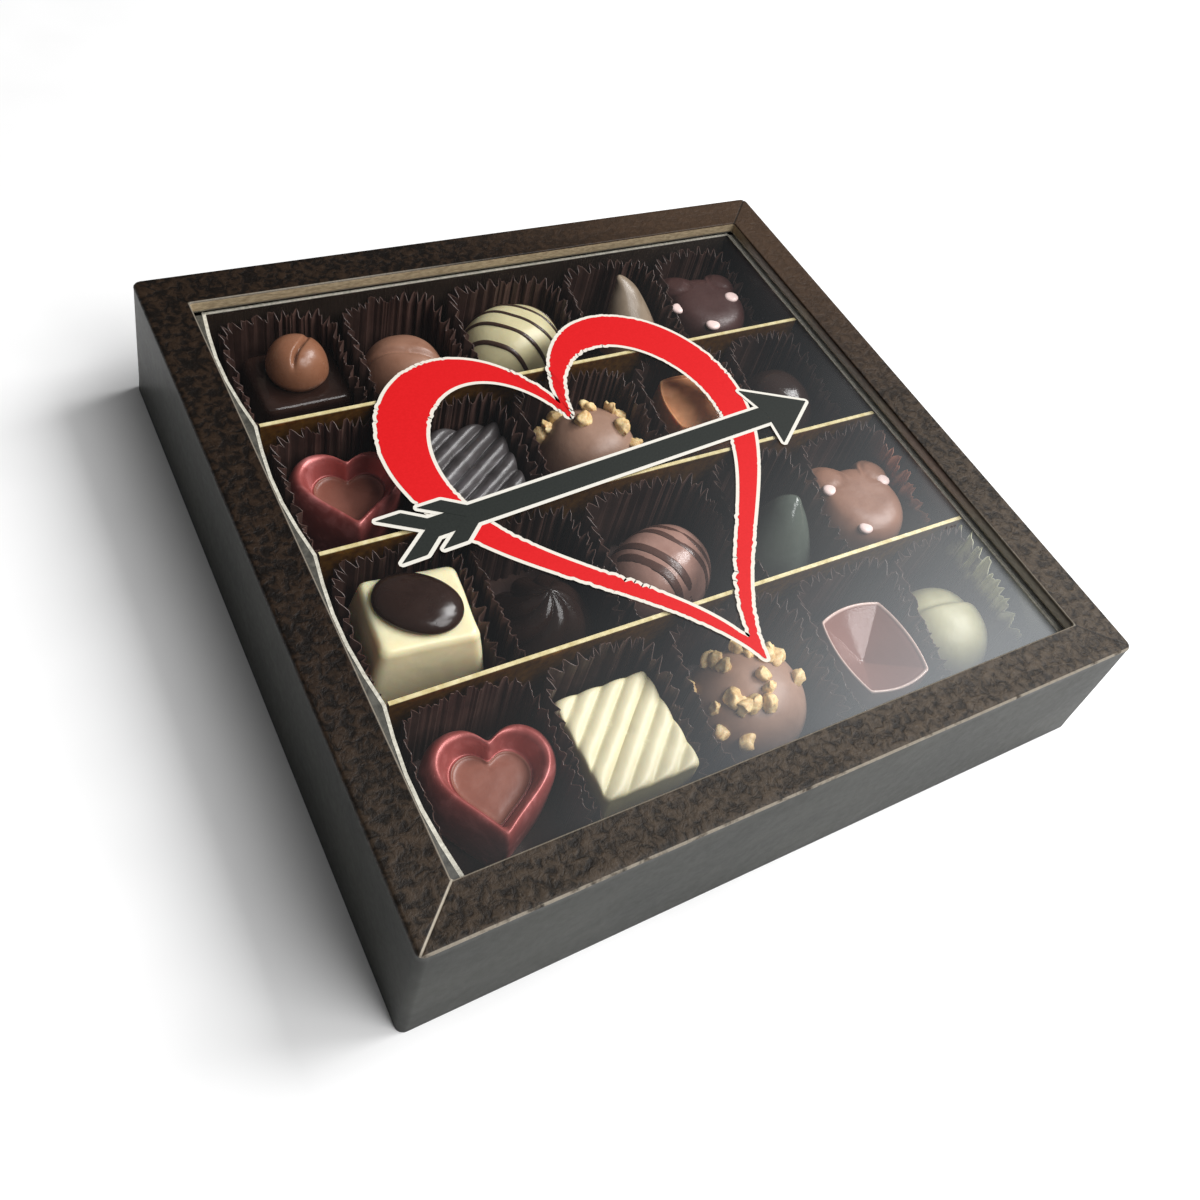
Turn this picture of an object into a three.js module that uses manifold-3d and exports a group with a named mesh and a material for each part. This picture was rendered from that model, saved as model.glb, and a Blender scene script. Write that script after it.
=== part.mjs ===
// A flat carton of twenty filled chocolates, shown through the clear window of its lid.
// Millimetres, +Z up. The origin is the middle of the underside. +Y runs from the front
// edge to the back edge, +X from left to right.

import * as THREE from 'three';
import { mergeVertices } from 'three/addons/utils/BufferGeometryUtils.js';
import Module from 'manifold-3d';

const wasm = await Module();
wasm.setup();

// Lid: a card frame whose side walls lean out a little, with a window sunk in a shallow well
const LID_X = 170;
const LID_Y = 166;
const LID_HEIGHT = 33;
const WALL_FLARE = 2.2;
const RIM_WIDTH = 9.7;
const WELL_DEPTH = 3;
const CARD = 1.1;
const WELL_CARD = 0.7;
const CORNER_RADIUS = 1.8;
const GAP = 0.3;

// Window film, and the panel that closes the box below
const FILM = 0.3;
const FILM_MARGIN = 0.5;
const BASE_CARD = 1.2;

// Inner tray: four card walls round a raised floor, with a divider between the rows
const TRAY_LEFT = -72;
const TRAY_RIGHT = 74.2;
const TRAY_FRONT = -72.5;
const TRAY_BACK = 73.3;
const TRAY_CARD = 0.7;
const TRAY_FLOOR_TOP = 5;
const LEFT_BULGE = 1.7;
const DIVIDER_PITCH = 36.65;
const DIVIDER_CARD = 0.9;
const DIVIDER_CLEARANCE = 0.5;

// Paper cups
const CUP_HEIGHT = 20;
const CUP_PAPER = 0.35;
const CUP_PLEATS = 16;
const PLEAT_DEPTH = 1.1;
const PLEAT_DEPTH_AT_FOOT = 0.6;
const CUP_FOOT_SCALE = 0.965;
const CUP_SQUARENESS = 5;
const ZIGZAG = 0.8;

// Chocolates
const DOME_SQUARENESS = 2.2;
const DRIZZLE_WIDTH = 1.1;
const DRIZZLE_HEIGHT = 0.5;
const DOT_RADIUS = 1.5;
const SLAB_HEIGHT = 12.2;
const BLOCK_HEIGHT = 18.6;
const FOUR_STRIPES = [-1.4, -0.45, 0.45, 1.4];
const PAIRED_STRIPES = [-1.2, -0.75, 0.75, 1.2];
const NUTS_BACK = { middle: 1.2, angle: 5, reach: 0.8 };
const NUTS_FRONT = { middle: 1.9, angle: 4, reach: 0.8 };

// Print on the window
const INK = 0.2;
const HEART_WIDTH = 92;
const HEART_LENGTH = 104;
const HEART_STROKE = 9;
const HEART_TIP_STROKE = 5;
const ARROW_STROKE = 5.2;

const FILM_TOP = LID_HEIGHT - WELL_DEPTH - GAP;
const TRAY_TOP = FILM_TOP - FILM - GAP;
const CUP_BASE = TRAY_FLOOR_TOP + GAP;
const FOOD_BASE = CUP_BASE + CUP_PAPER + GAP;

const group = new THREE.Group();

// Colours and finish of each kind of piece
const FINISH = {
  lid: { color: 0x4a3f34, roughness: 0.55 },
  film: { color: 0xd8dde0, roughness: 0.08, transparent: true, opacity: 0.25 },
  base: { color: 0x2b2e2b, roughness: 0.7 },
  tray: { color: 0x2c2420, roughness: 0.35, metalness: 0.3 },
  gold: { color: 0xcaa860, roughness: 0.3, metalness: 0.8 },
  cup: { color: 0x2a1c18, roughness: 0.6 },
  redInk: { color: 0xe0222c, roughness: 0.5 },
  darkInk: { color: 0x2b2e2c, roughness: 0.5 },
  dark: { color: 0x35221d, roughness: 0.35 },
  milk: { color: 0x8a5f45, roughness: 0.4 },
  white: { color: 0xe6ddb4, roughness: 0.42 },
  red: { color: 0x8e3f38, roughness: 0.32 },
  caramel: { color: 0xa66c3c, roughness: 0.35 },
};

function add(name, geometry, finish, x = 0, y = 0, z = 0, turn = 0) {
  const mesh = new THREE.Mesh(geometry, new THREE.MeshStandardMaterial(FINISH[finish]));
  mesh.name = name;
  mesh.position.set(x, y, z);
  mesh.rotation.z = THREE.MathUtils.degToRad(turn);
  group.add(mesh);
  return mesh;
}

// A repeatable random draw between 0 and 1
function randomDraw(seed) {
  let state = seed;
  return () => {
    state = (state * 1664525 + 1013904223) % 4294967296;
    return state / 4294967296;
  };
}

// Turning geometry into a solid and back, for joins and cuts
function solid(geometry) {
  const bare = geometry.clone();
  bare.deleteAttribute('normal');
  bare.deleteAttribute('uv');
  const merged = mergeVertices(bare, 1e-4);
  const mesh = new wasm.Mesh({
    numProp: 3,
    vertProperties: new Float32Array(merged.attributes.position.array),
    triVerts: new Uint32Array(merged.index.array),
  });
  return new wasm.Manifold(mesh);
}

function surface(body) {
  const mesh = body.getMesh();
  const geometry = new THREE.BufferGeometry();
  geometry.setAttribute('position', new THREE.BufferAttribute(mesh.vertProperties, 3));
  geometry.setIndex(new THREE.BufferAttribute(mesh.triVerts, 1));
  geometry.computeVertexNormals();
  return geometry;
}

function join(first, ...others) {
  return surface(others.reduce((body, next) => body.add(solid(next)), solid(first)));
}

function signedVolume(points, triangles) {
  let total = 0;
  for (let i = 0; i < triangles.length; i += 3) {
    const [a, b, c] = [0, 1, 2].map((k) => points[triangles[i + k]]);
    total += a.dot(b.clone().cross(c)) / 6;
  }
  return total;
}

function bodyFrom(points, triangles) {
  const outward = signedVolume(points, triangles) > 0 ? triangles : triangles.slice().reverse();
  const geometry = new THREE.BufferGeometry();
  geometry.setAttribute('position', new THREE.Float32BufferAttribute(points.flatMap((p) => p.toArray()), 3));
  geometry.setIndex(outward);
  geometry.computeVertexNormals();
  return geometry;
}

function stitch(triangles, from, to, count) {
  for (let i = 0; i < count; i += 1) {
    const j = (i + 1) % count;
    triangles.push(from + i, from + j, to + j);
    triangles.push(from + i, to + j, to + i);
  }
}

// A closed body through rings of equal point count, ended by a fan at each end
function loft(rings, lowCentre, highCentre) {
  const count = rings[0].length;
  const points = rings.flat();
  const triangles = [];
  for (let k = 0; k + 1 < rings.length; k += 1) {
    stitch(triangles, k * count, (k + 1) * count, count);
  }
  const last = (rings.length - 1) * count;
  const low = points.push(lowCentre) - 1;
  const high = points.push(highCentre) - 1;
  for (let i = 0; i < count; i += 1) {
    const j = (i + 1) % count;
    triangles.push(low, j, i);
    triangles.push(high, last + i, last + j);
  }
  return bodyFrom(points, triangles);
}

// A frame-like body: rings joined in a loop, the last to the first
function frameLoft(rings) {
  const count = rings[0].length;
  const triangles = [];
  rings.forEach((ring, k) => stitch(triangles, k * count, ((k + 1) % rings.length) * count, count));
  return bodyFrom(rings.flat(), triangles);
}

// Outlines, each a list of THREE.Vector2 running anticlockwise
function roundedRectangle(halfX, halfY, radius, steps) {
  const outline = [];
  const corners = [[1, 1], [-1, 1], [-1, -1], [1, -1]];
  corners.forEach(([sx, sy], quarter) => {
    for (let i = 0; i <= steps; i += 1) {
      const angle = (quarter + i / steps) * Math.PI / 2;
      const x = sx * (halfX - radius) + radius * Math.cos(angle);
      const y = sy * (halfY - radius) + radius * Math.sin(angle);
      outline.push(new THREE.Vector2(x, y));
    }
  });
  return outline;
}

function superellipse(halfX, halfY, power, count) {
  return Array.from({ length: count }, (_, i) => {
    const angle = i / count * 2 * Math.PI;
    const c = Math.cos(angle);
    const s = Math.sin(angle);
    const reach = (Math.abs(c) ** power + Math.abs(s) ** power) ** (-1 / power);
    return new THREE.Vector2(halfX * c * reach, halfY * s * reach);
  });
}

function heartOutline(width, length, count, plumpness = 0.3) {
  return Array.from({ length: count }, (_, i) => {
    const t = -i / count * 2 * Math.PI;
    const wave = 13 * Math.cos(t) - 5 * Math.cos(2 * t) - 2 * Math.cos(3 * t) - Math.cos(4 * t);
    const heart = new THREE.Vector2(Math.sin(t) ** 3, (wave + 2.5) / 14.5);
    const oval = new THREE.Vector2(Math.sin(t), Math.cos(t));
    const point = heart.lerp(oval, plumpness);
    return new THREE.Vector2(point.x * width / 2, point.y * length / 2);
  });
}

// The outer edge of three overlapping circles: two ears above a broad cheek
function bearOutline(width, length, count) {
  const circles = [
    { x: -0.56, y: 0.52, r: 0.44 },
    { x: 0.56, y: 0.52, r: 0.44 },
    { x: 0, y: -0.12, r: 0.88 },
  ];
  return Array.from({ length: count }, (_, i) => {
    const angle = i / count * 2 * Math.PI;
    const c = Math.cos(angle);
    const s = Math.sin(angle);
    const reach = Math.max(...circles.map(({ x, y, r }) => {
      const along = x * c + y * s;
      const across = x * s - y * c;
      return Math.abs(across) < r ? along + Math.sqrt(r * r - across * across) : 0;
    }));
    return new THREE.Vector2(c * reach * width / 2, s * reach * length / 2);
  });
}

function ringAt(outline, scale, z, shift = new THREE.Vector2()) {
  return outline.map((p) => new THREE.Vector3(p.x * scale + shift.x, p.y * scale + shift.y, z));
}

// A moulded piece: one outline scaled through a list of [scale, height] steps
function moulded(outline, steps, crown = 0) {
  const top = steps[steps.length - 1][1];
  const rings = steps.map(([scale, z]) => ringAt(outline, scale, z));
  return loft(rings, new THREE.Vector3(0, 0, steps[0][1]), new THREE.Vector3(0, 0, top + crown));
}

function dome(outline, height, levels, foot = 0.9) {
  const steps = [[foot, 0]];
  for (let k = 0; k < levels; k += 1) {
    const climb = k / levels * Math.PI / 2;
    steps.push([Math.cos(climb) ** 0.75, height * (0.22 + 0.78 * Math.sin(climb))]);
  }
  const last = steps[steps.length - 1];
  return moulded(outline, steps, height - last[1]);
}

// Lid
function lidRing(inset, z, radius) {
  const outline = roundedRectangle(LID_X / 2 - inset, LID_Y / 2 - inset, radius, 3);
  return ringAt(outline, 1, z);
}

function lid() {
  const wellInner = RIM_WIDTH;
  const wellOuter = RIM_WIDTH - WELL_CARD;
  const wellBottom = LID_HEIGHT - WELL_DEPTH;
  const underside = LID_HEIGHT - CARD;
  return frameLoft([
    lidRing(-WALL_FLARE, 0, CORNER_RADIUS),
    lidRing(-0.15, LID_HEIGHT - 0.6, CORNER_RADIUS),
    lidRing(0.35, LID_HEIGHT, CORNER_RADIUS),
    lidRing(wellInner - 0.3, LID_HEIGHT, 0.6),
    lidRing(wellInner, LID_HEIGHT - 0.4, 0.6),
    lidRing(wellInner, wellBottom, 0.6),
    lidRing(wellOuter, wellBottom, 0.8),
    lidRing(wellOuter, underside, 0.8),
    lidRing(CARD, underside, 1),
    lidRing(CARD - WALL_FLARE, 0, 1),
  ]);
}

function plate(halfX, halfY, thickness) {
  const geometry = new THREE.BoxGeometry(2 * halfX, 2 * halfY, thickness);
  return geometry.translate(0, 0, thickness / 2);
}

add('lid', lid(), 'lid');

const filmInset = RIM_WIDTH - WELL_CARD - FILM_MARGIN;
const film = plate(LID_X / 2 - filmInset, LID_Y / 2 - filmInset, FILM);
add('window_film', film, 'film', 0, 0, FILM_TOP - FILM);

const baseInset = CARD - WALL_FLARE + GAP + WALL_FLARE * BASE_CARD / LID_HEIGHT;
add('base_panel', plate(LID_X / 2 - baseInset, LID_Y / 2 - baseInset, BASE_CARD), 'base');

// Tray: the left wall bows out between the dividers, which hold it in
function trayOutline(offset) {
  const outline = new THREE.Shape();
  const left = TRAY_LEFT - offset;
  const front = TRAY_FRONT - offset;
  outline.moveTo(left, front);
  outline.lineTo(TRAY_RIGHT + offset, front);
  outline.lineTo(TRAY_RIGHT + offset, TRAY_BACK + offset);
  outline.lineTo(left, TRAY_BACK + offset);
  const stops = [TRAY_BACK + offset, DIVIDER_PITCH, 0, -DIVIDER_PITCH, front];
  const bowSteps = 5;
  for (let k = 0; k + 1 < stops.length; k += 1) {
    for (let i = 1; i <= bowSteps; i += 1) {
      const along = i / bowSteps;
      const y = THREE.MathUtils.lerp(stops[k], stops[k + 1], along);
      const bow = LEFT_BULGE * Math.sin(Math.PI * along);
      if (k + 2 < stops.length || i < bowSteps) outline.lineTo(left - bow, y);
    }
  }
  outline.closePath();
  return outline;
}

function extruded(shape, low, high) {
  const settings = { depth: high - low, bevelEnabled: false, curveSegments: 6 };
  return new THREE.ExtrudeGeometry(shape, settings).translate(0, 0, low);
}

function tray() {
  const foot = BASE_CARD + GAP;
  const floorUnderside = TRAY_FLOOR_TOP - TRAY_CARD;
  const outer = solid(extruded(trayOutline(TRAY_CARD), foot, TRAY_TOP));
  const above = solid(extruded(trayOutline(0), TRAY_FLOOR_TOP, TRAY_TOP + 1));
  const below = solid(extruded(trayOutline(0), foot - 1, floorUnderside));
  return surface(outer.subtract(above).subtract(below));
}

add('inner_tray', tray(), 'tray');

const DIVIDERS_Y = [DIVIDER_PITCH, 0, -DIVIDER_PITCH];

DIVIDERS_Y.forEach((y, i) => {
  const low = TRAY_FLOOR_TOP + GAP;
  const length = TRAY_RIGHT - TRAY_LEFT - 2 * DIVIDER_CLEARANCE;
  const strip = new THREE.BoxGeometry(length, DIVIDER_CARD, TRAY_TOP - low);
  add(`divider_${i + 1}`, strip, 'gold', (TRAY_LEFT + TRAY_RIGHT) / 2, y, (low + TRAY_TOP) / 2);
});

// Paper cups: rows from back to front, with the x edges between the cups of each row
const ROW_EDGES_Y = [TRAY_BACK, ...DIVIDERS_Y, TRAY_FRONT];
const CUP_EDGES_X = [
  [-71.7, -42.4, -15, 18, 48.2, 73.9],
  [-71.7, -42.8, -14, 19.8, 48.8, 73.9],
  [-71.7, -41.8, -13.6, 20.4, 48.4, 73.9],
  [-71.7, -41.8, -13.2, 21, 50.4, 73.9],
];

function pleatedRing(halfX, halfY, depth, inset, z, zigzag) {
  const outline = superellipse(halfX, halfY, CUP_SQUARENESS, 2 * CUP_PLEATS);
  return outline.map((p, i) => {
    const folded = inset + (i % 2 ? depth : 0);
    const shrinkX = (halfX - folded) / halfX;
    const shrinkY = (halfY - folded) / halfY;
    return new THREE.Vector3(p.x * shrinkX, p.y * shrinkY, z + (i % 2 ? -zigzag : 0));
  });
}

function paperCup(width, depth) {
  const topX = width / 2;
  const topY = depth / 2;
  const footX = topX * CUP_FOOT_SCALE;
  const footY = topY * CUP_FOOT_SCALE;
  const rings = [
    pleatedRing(footX, footY, PLEAT_DEPTH_AT_FOOT, 0, 0, 0),
    pleatedRing(topX, topY, PLEAT_DEPTH, 0, CUP_HEIGHT, ZIGZAG),
    pleatedRing(topX, topY, PLEAT_DEPTH, CUP_PAPER, CUP_HEIGHT, ZIGZAG),
    pleatedRing(footX, footY, PLEAT_DEPTH_AT_FOOT, CUP_PAPER, CUP_PAPER, 0),
  ];
  return loft(rings, new THREE.Vector3(0, 0, 0), new THREE.Vector3(0, 0, CUP_PAPER));
}

CUP_EDGES_X.forEach((edges, row) => {
  const back = ROW_EDGES_Y[row] - DIVIDER_CARD / 2 - GAP;
  const front = ROW_EDGES_Y[row + 1] + DIVIDER_CARD / 2 + GAP;
  for (let column = 0; column < 5; column += 1) {
    const left = edges[column];
    const right = edges[column + 1] - GAP;
    const cup = paperCup(right - left, back - front);
    add(`cup_${row + 1}_${column + 1}`, cup, 'cup', (left + right) / 2, (back + front) / 2, CUP_BASE);
  }
});

// Chocolates
function slab(width, depth, height, round) {
  const outline = roundedRectangle(width / 2, depth / 2, round, 3);
  return moulded(outline, [[0.97, 0], [1, height - 2.4], [0.98, height - 0.8], [0.92, height]]);
}

function heartPiece(width, length, height) {
  return moulded(heartOutline(width, length, 30), [
    [0.93, 0],
    [1, 0.3 * height],
    [0.97, 0.75 * height],
    [0.86, 0.98 * height],
    [0.76, height],
    [0.66, 0.94 * height],
    [0.6, 0.8 * height],
  ]);
}

function bearPiece(width, length, height) {
  const body = moulded(bearOutline(width, length, 30), [
    [0.94, 0],
    [1, 0.25 * height],
    [0.98, 0.75 * height],
    [0.88, 0.93 * height],
    [0.6, height],
  ], 0.4);
  const dots = [[-0.3, 0.22], [0.3, 0.28], [0.02, -0.32]].map(([x, y]) => {
    const dot = new THREE.IcosahedronGeometry(DOT_RADIUS, 0).scale(1, 1, 0.6);
    return dot.translate(x * width, y * length, 0.96 * height);
  });
  return join(body, ...dots);
}

// A horn that leans as it narrows to its tip
function hornPiece(radius, height, leanX, leanY) {
  const levels = 8;
  const outline = superellipse(radius, radius, 2, 14);
  const shiftAt = (t) => new THREE.Vector2(leanX, leanY).multiplyScalar(t ** 1.5);
  const rings = [];
  for (let k = 0; k < levels; k += 1) {
    const t = k / levels;
    rings.push(ringAt(outline, (1 - t) ** 0.8, t * height, shiftAt(t)));
  }
  return loft(rings, new THREE.Vector3(0, 0, 0), new THREE.Vector3(leanX, leanY, height));
}

function stripedDome(width, depth, height, stripes, pitch, turn) {
  const outline = superellipse(width / 2, depth / 2, DOME_SQUARENESS, 16);
  const raised = superellipse(width / 2 + DRIZZLE_HEIGHT, depth / 2 + DRIZZLE_HEIGHT, DOME_SQUARENESS, 16);
  const body = solid(dome(outline, height, 4));
  const coat = solid(dome(raised, height + DRIZZLE_HEIGHT, 4));
  const bands = stripes.map((offset) => {
    const band = new THREE.BoxGeometry(DRIZZLE_WIDTH, 2 * width, height);
    band.translate(offset * pitch, 0, 0.75 * height).rotateZ(THREE.MathUtils.degToRad(turn));
    return coat.intersect(solid(band));
  });
  return surface(bands.reduce((whole, band) => whole.add(band), body));
}

function nutDome(width, depth, height, count, spread, seed) {
  const draw = randomDraw(seed);
  const body = dome(superellipse(width / 2, depth / 2, DOME_SQUARENESS, 18), height, 5);
  const nuts = Array.from({ length: count }, () => {
    const size = 2 + 1.2 * draw();
    const nut = new THREE.BoxGeometry(size, 0.8 * size, 0.7 * size);
    nut.rotateX(3 * draw()).rotateY(3 * draw()).rotateZ(3 * draw());
    const angle = spread.middle + spread.angle * (draw() - 0.5);
    const out = spread.reach * Math.sqrt(draw());
    const x = 0.5 * width * out * Math.cos(angle);
    const y = 0.5 * depth * out * Math.sin(angle);
    return nut.translate(x, y, height * (0.22 + 0.78 * Math.sqrt(1 - out ** 2.6)) + 0.2);
  });
  return join(body, ...nuts);
}

// A block whose top is cut by a wave that runs at an angle across it
function ribbedBlock(width, depth, height, pitch, relief, turn) {
  const outline = roundedRectangle(width / 2, depth / 2, 2, 2);
  const block = moulded(outline, [[0.97, 0], [1, height - 2], [0.97, height + relief]]);
  const half = 0.8 * Math.max(width, depth);
  const profile = new THREE.Shape();
  profile.moveTo(-half, -1);
  const samples = Math.ceil(2 * half / pitch) * 5;
  for (let i = 0; i <= samples; i += 1) {
    const x = THREE.MathUtils.lerp(-half, half, i / samples);
    const crest = Math.sqrt(Math.abs(Math.sin(Math.PI * x / pitch)));
    profile.lineTo(x, height - relief + relief * crest);
  }
  profile.lineTo(half, -1);
  profile.closePath();
  const wave = new THREE.ExtrudeGeometry(profile, { depth: 4 * half, bevelEnabled: false });
  wave.translate(0, 0, -2 * half).rotateX(Math.PI / 2).rotateZ(THREE.MathUtils.degToRad(turn));
  return surface(solid(block).intersect(solid(wave)));
}

function rosette(radius, height, folds, twist) {
  const count = folds * 4;
  const steps = [[0.92, 0], [1, 0.2], [0.9, 0.45], [0.64, 0.68], [0.36, 0.85], [0.14, 0.96]];
  const rings = steps.map(([scale, level]) => Array.from({ length: count }, (_, i) => {
    const angle = i / count * 2 * Math.PI;
    const reach = radius * scale * (0.87 + 0.13 * Math.cos(folds * angle));
    const turned = angle + twist * level;
    return new THREE.Vector3(reach * Math.cos(turned), reach * Math.sin(turned), level * height);
  }));
  return loft(rings, new THREE.Vector3(0, 0, 0), new THREE.Vector3(0, 0, height));
}

// A square piece with a thin standing edge round a middle that sinks, or rises where sink is negative
function facetedPiece(width, depth, height, sink) {
  return moulded(roundedRectangle(width / 2, depth / 2, 2.5, 2), [
    [1, 0],
    [0.99, 0.3 * height],
    [0.86, 0.93 * height],
    [0.8, height],
    [0.73, 0.97 * height],
  ], -sink);
}

// A dome split by one straight furrow
function furrowedDome(width, depth, height, furrow, turn) {
  const body = dome(superellipse(width / 2, depth / 2, DOME_SQUARENESS, 20), height, 5);
  const cutter = new THREE.CylinderGeometry(furrow, furrow, 2 * width, 8);
  cutter.scale(1, 1, 1.5).translate(0, 0, height + 0.15 * furrow);
  cutter.rotateZ(THREE.MathUtils.degToRad(turn));
  return surface(solid(body).subtract(solid(cutter)));
}

function food(name, geometry, finish, x, y, turn = 0) {
  add(name, geometry, finish, x, y, FOOD_BASE, turn);
}

// Back row
food('coffee_slab', slab(23, 21, SLAB_HEIGHT, 3), 'dark', -56, 57, 2);
const bean = furrowedDome(16.4, 16.4, 9.4, 1.1, -38);
add('coffee_bean_knob', bean, 'milk', -56, 57.6, FOOD_BASE + SLAB_HEIGHT + GAP);
food('grooved_milk_dome', furrowedDome(22, 24, 17, 1.3, 70), 'milk', -28.8, 57.5);
food('striped_white_dome', stripedDome(28.4, 24.4, 19.5, FOUR_STRIPES, 5.4, 42), 'white', 1.6, 58.6);
food('brown_horn', hornPiece(11, 22.6, -4.5, 8.5), 'milk', 35.6, 54.4);
food('dark_bear', bearPiece(22, 24.4, 17), 'dark', 60.9, 56.8, 4);

// Second row
food('red_heart_back', heartPiece(24.4, 24, 17), 'red', -57, 20.2, -8);
food('ribbed_dark_bar', ribbedBlock(21.5, 24, 15.4, 4.4, 1.8, -52), 'dark', -28.4, 20.2, -4);
food('nut_dome_back', nutDome(25, 24, 18, 11, NUTS_BACK, 7), 'milk', 4.6, 20.8);
food('caramel_square', facetedPiece(20.4, 20.4, 17, -2.5), 'caramel', 35.2, 21.4, -10);
food('dark_dome', dome(superellipse(10.4, 11, DOME_SQUARENESS, 20), 18, 6), 'dark', 61.3, 20.4);

// Third row
food('white_block', slab(21.8, 21.2, BLOCK_HEIGHT, 2), 'white', -56.2, -16.8, -8);
const cabochon = moulded(superellipse(8.2, 6.4, 2.1, 20), [[0.94, 0], [1, 1], [0.82, 2.6], [0.45, 3.4]], 0.3);
add('dark_cabochon', cabochon, 'dark', -56.8, -16.4, FOOD_BASE + BLOCK_HEIGHT + GAP, -28);
food('piped_rosette', rosette(12.2, 17, 7, 1.6), 'dark', -28.2, -19.4);
food('striped_milk_dome', stripedDome(27, 22.5, 17, PAIRED_STRIPES, 5, 17), 'milk', 3.4, -17.4, 15);
food('dark_horn', hornPiece(10.4, 21.5, 1.5, 3), 'dark', 36.2, -19.6);
food('milk_bear', bearPiece(22, 25, 17.6), 'milk', 60.8, -19.2, -4);

// Front row
food('red_heart_front', heartPiece(24.4, 25, 16.4), 'red', -56.6, -54.6, -10);
food('ribbed_white_block', ribbedBlock(22.4, 24, 14, 4.8, 0.9, -50), 'white', -27.4, -54.6, 4);
food('nut_dome_front', nutDome(27.6, 26, 17, 15, NUTS_FRONT, 19), 'milk', 4.2, -54.8);
food('faceted_milk_square', facetedPiece(21, 24.4, 14.6, 4), 'milk', 36.6, -56, 0);
food('white_shell', furrowedDome(19.8, 23, 15, 1.2, 68), 'white', 62.2, -55.4, 8);

// Print: a brushed heart outline, and an arrow through it
function brushedHeart() {
  const shape = new THREE.Shape(heartOutline(HEART_WIDTH, HEART_LENGTH, 32, 0));
  const innerWidth = HEART_WIDTH - 2 * HEART_STROKE;
  const innerLength = HEART_LENGTH - HEART_STROKE - HEART_TIP_STROKE;
  const drop = (HEART_STROKE - HEART_TIP_STROKE) / 2;
  const inner = heartOutline(innerWidth, innerLength, 32, 0).map((p) => new THREE.Vector2(p.x, p.y - drop));
  shape.holes.push(new THREE.Path(inner));
  return extruded(shape, 0, INK);
}

function arrow(length, stroke, headLength, headWidth, barbs) {
  const half = stroke / 2;
  const neck = length / 2 - headLength;
  const edge = [[-length / 2 + stroke, half]];
  for (let i = 0; i < barbs; i += 1) {
    const x = -length / 2 + stroke * (1 + 1.8 * i);
    edge.push([x - 1.6 * stroke, 2.3 * half], [x - 0.5 * stroke, 2.3 * half], [x + stroke, half]);
    if (i + 1 < barbs) edge.push([x + 1.3 * stroke, half]);
  }
  edge.push([neck, half], [neck - 2, headWidth / 2], [length / 2, 0]);
  const mirrored = edge.slice(0, -1).reverse().map(([x, y]) => [x, -y]);
  const outline = [...edge, ...mirrored].map(([x, y]) => new THREE.Vector2(x, y));
  return extruded(new THREE.Shape(outline.reverse()), 0, INK);
}

add('print_heart', brushedHeart(), 'redInk', -2, -4, FILM_TOP + GAP, 6);
add('print_arrow', arrow(112, ARROW_STROKE, 13, 19, 2), 'darkInk', 1, 3, FILM_TOP + INK + 2 * GAP, 5);

export default group;
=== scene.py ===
"""The looks of a flat carton of twenty filled chocolates in pleated cups, seen through its window.

Lengths are millimetres, angles are degrees, and colours are 0 to 255 as on a colour card, unless a
name says otherwise. The origin is the middle of the underside, +Y runs to the back, +X to the right.
"""

import math

import bmesh
import bpy
import numpy as np
from mathutils import Matrix, Vector, noise
from mathutils.bvhtree import BVHTree


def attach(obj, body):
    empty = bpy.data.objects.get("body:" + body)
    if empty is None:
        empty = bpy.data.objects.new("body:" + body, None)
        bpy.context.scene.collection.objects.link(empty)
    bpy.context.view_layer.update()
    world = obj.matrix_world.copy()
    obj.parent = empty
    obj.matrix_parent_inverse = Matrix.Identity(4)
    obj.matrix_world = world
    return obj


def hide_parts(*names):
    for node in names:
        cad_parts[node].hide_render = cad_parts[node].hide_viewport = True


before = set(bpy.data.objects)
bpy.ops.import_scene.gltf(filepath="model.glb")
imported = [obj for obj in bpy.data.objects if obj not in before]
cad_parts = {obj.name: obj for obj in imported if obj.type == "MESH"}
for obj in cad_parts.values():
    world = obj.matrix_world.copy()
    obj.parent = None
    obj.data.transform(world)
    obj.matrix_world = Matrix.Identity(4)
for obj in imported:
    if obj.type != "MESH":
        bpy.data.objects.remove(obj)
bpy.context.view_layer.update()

MM = 0.001
BODY = "root"

# Camera, fitted to the carton's corners
LENS = 32.754
SENSOR = 36
CAMERA_AT = (-118.9, -129.5, 204.5)
CAMERA_RIGHT = (0.86226, -0.46121, 0.20925)
CAMERA_UP = (0.26731, 0.76538, 0.58544)
CAMERA_BACK = (-0.43017, -0.44887, 0.78324)

# Carton
LID_X = 170
LID_Y = 166
LID_HEIGHT = 33
WALL_FLARE = 2.2
RIM_WIDTH = 9.7
WELL_BOTTOM = 30
WELL_CARD = 0.7
CARD = 1.1
FOLD_RADIUS = 0.8
CORNER_STEPS = 8
SIDE_STEPS = 26
MITRE_GROOVE = 0.16
FILM_TOP = 29.7

# Tray
TRAY_LEFT = -72
TRAY_RIGHT = 74.2
TRAY_CARD = 0.7
TRAY_TOP = 29.1
TRAY_ENDS_Y = (73.3, -72.5)
DIVIDERS_Y = (36.65, 0, -36.65)
LEFT_BULGE = 1.7
LEDGE_OUTER = 78
LEDGE_CARD = 0.2
LEDGE_PLAY = 0.05

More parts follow.
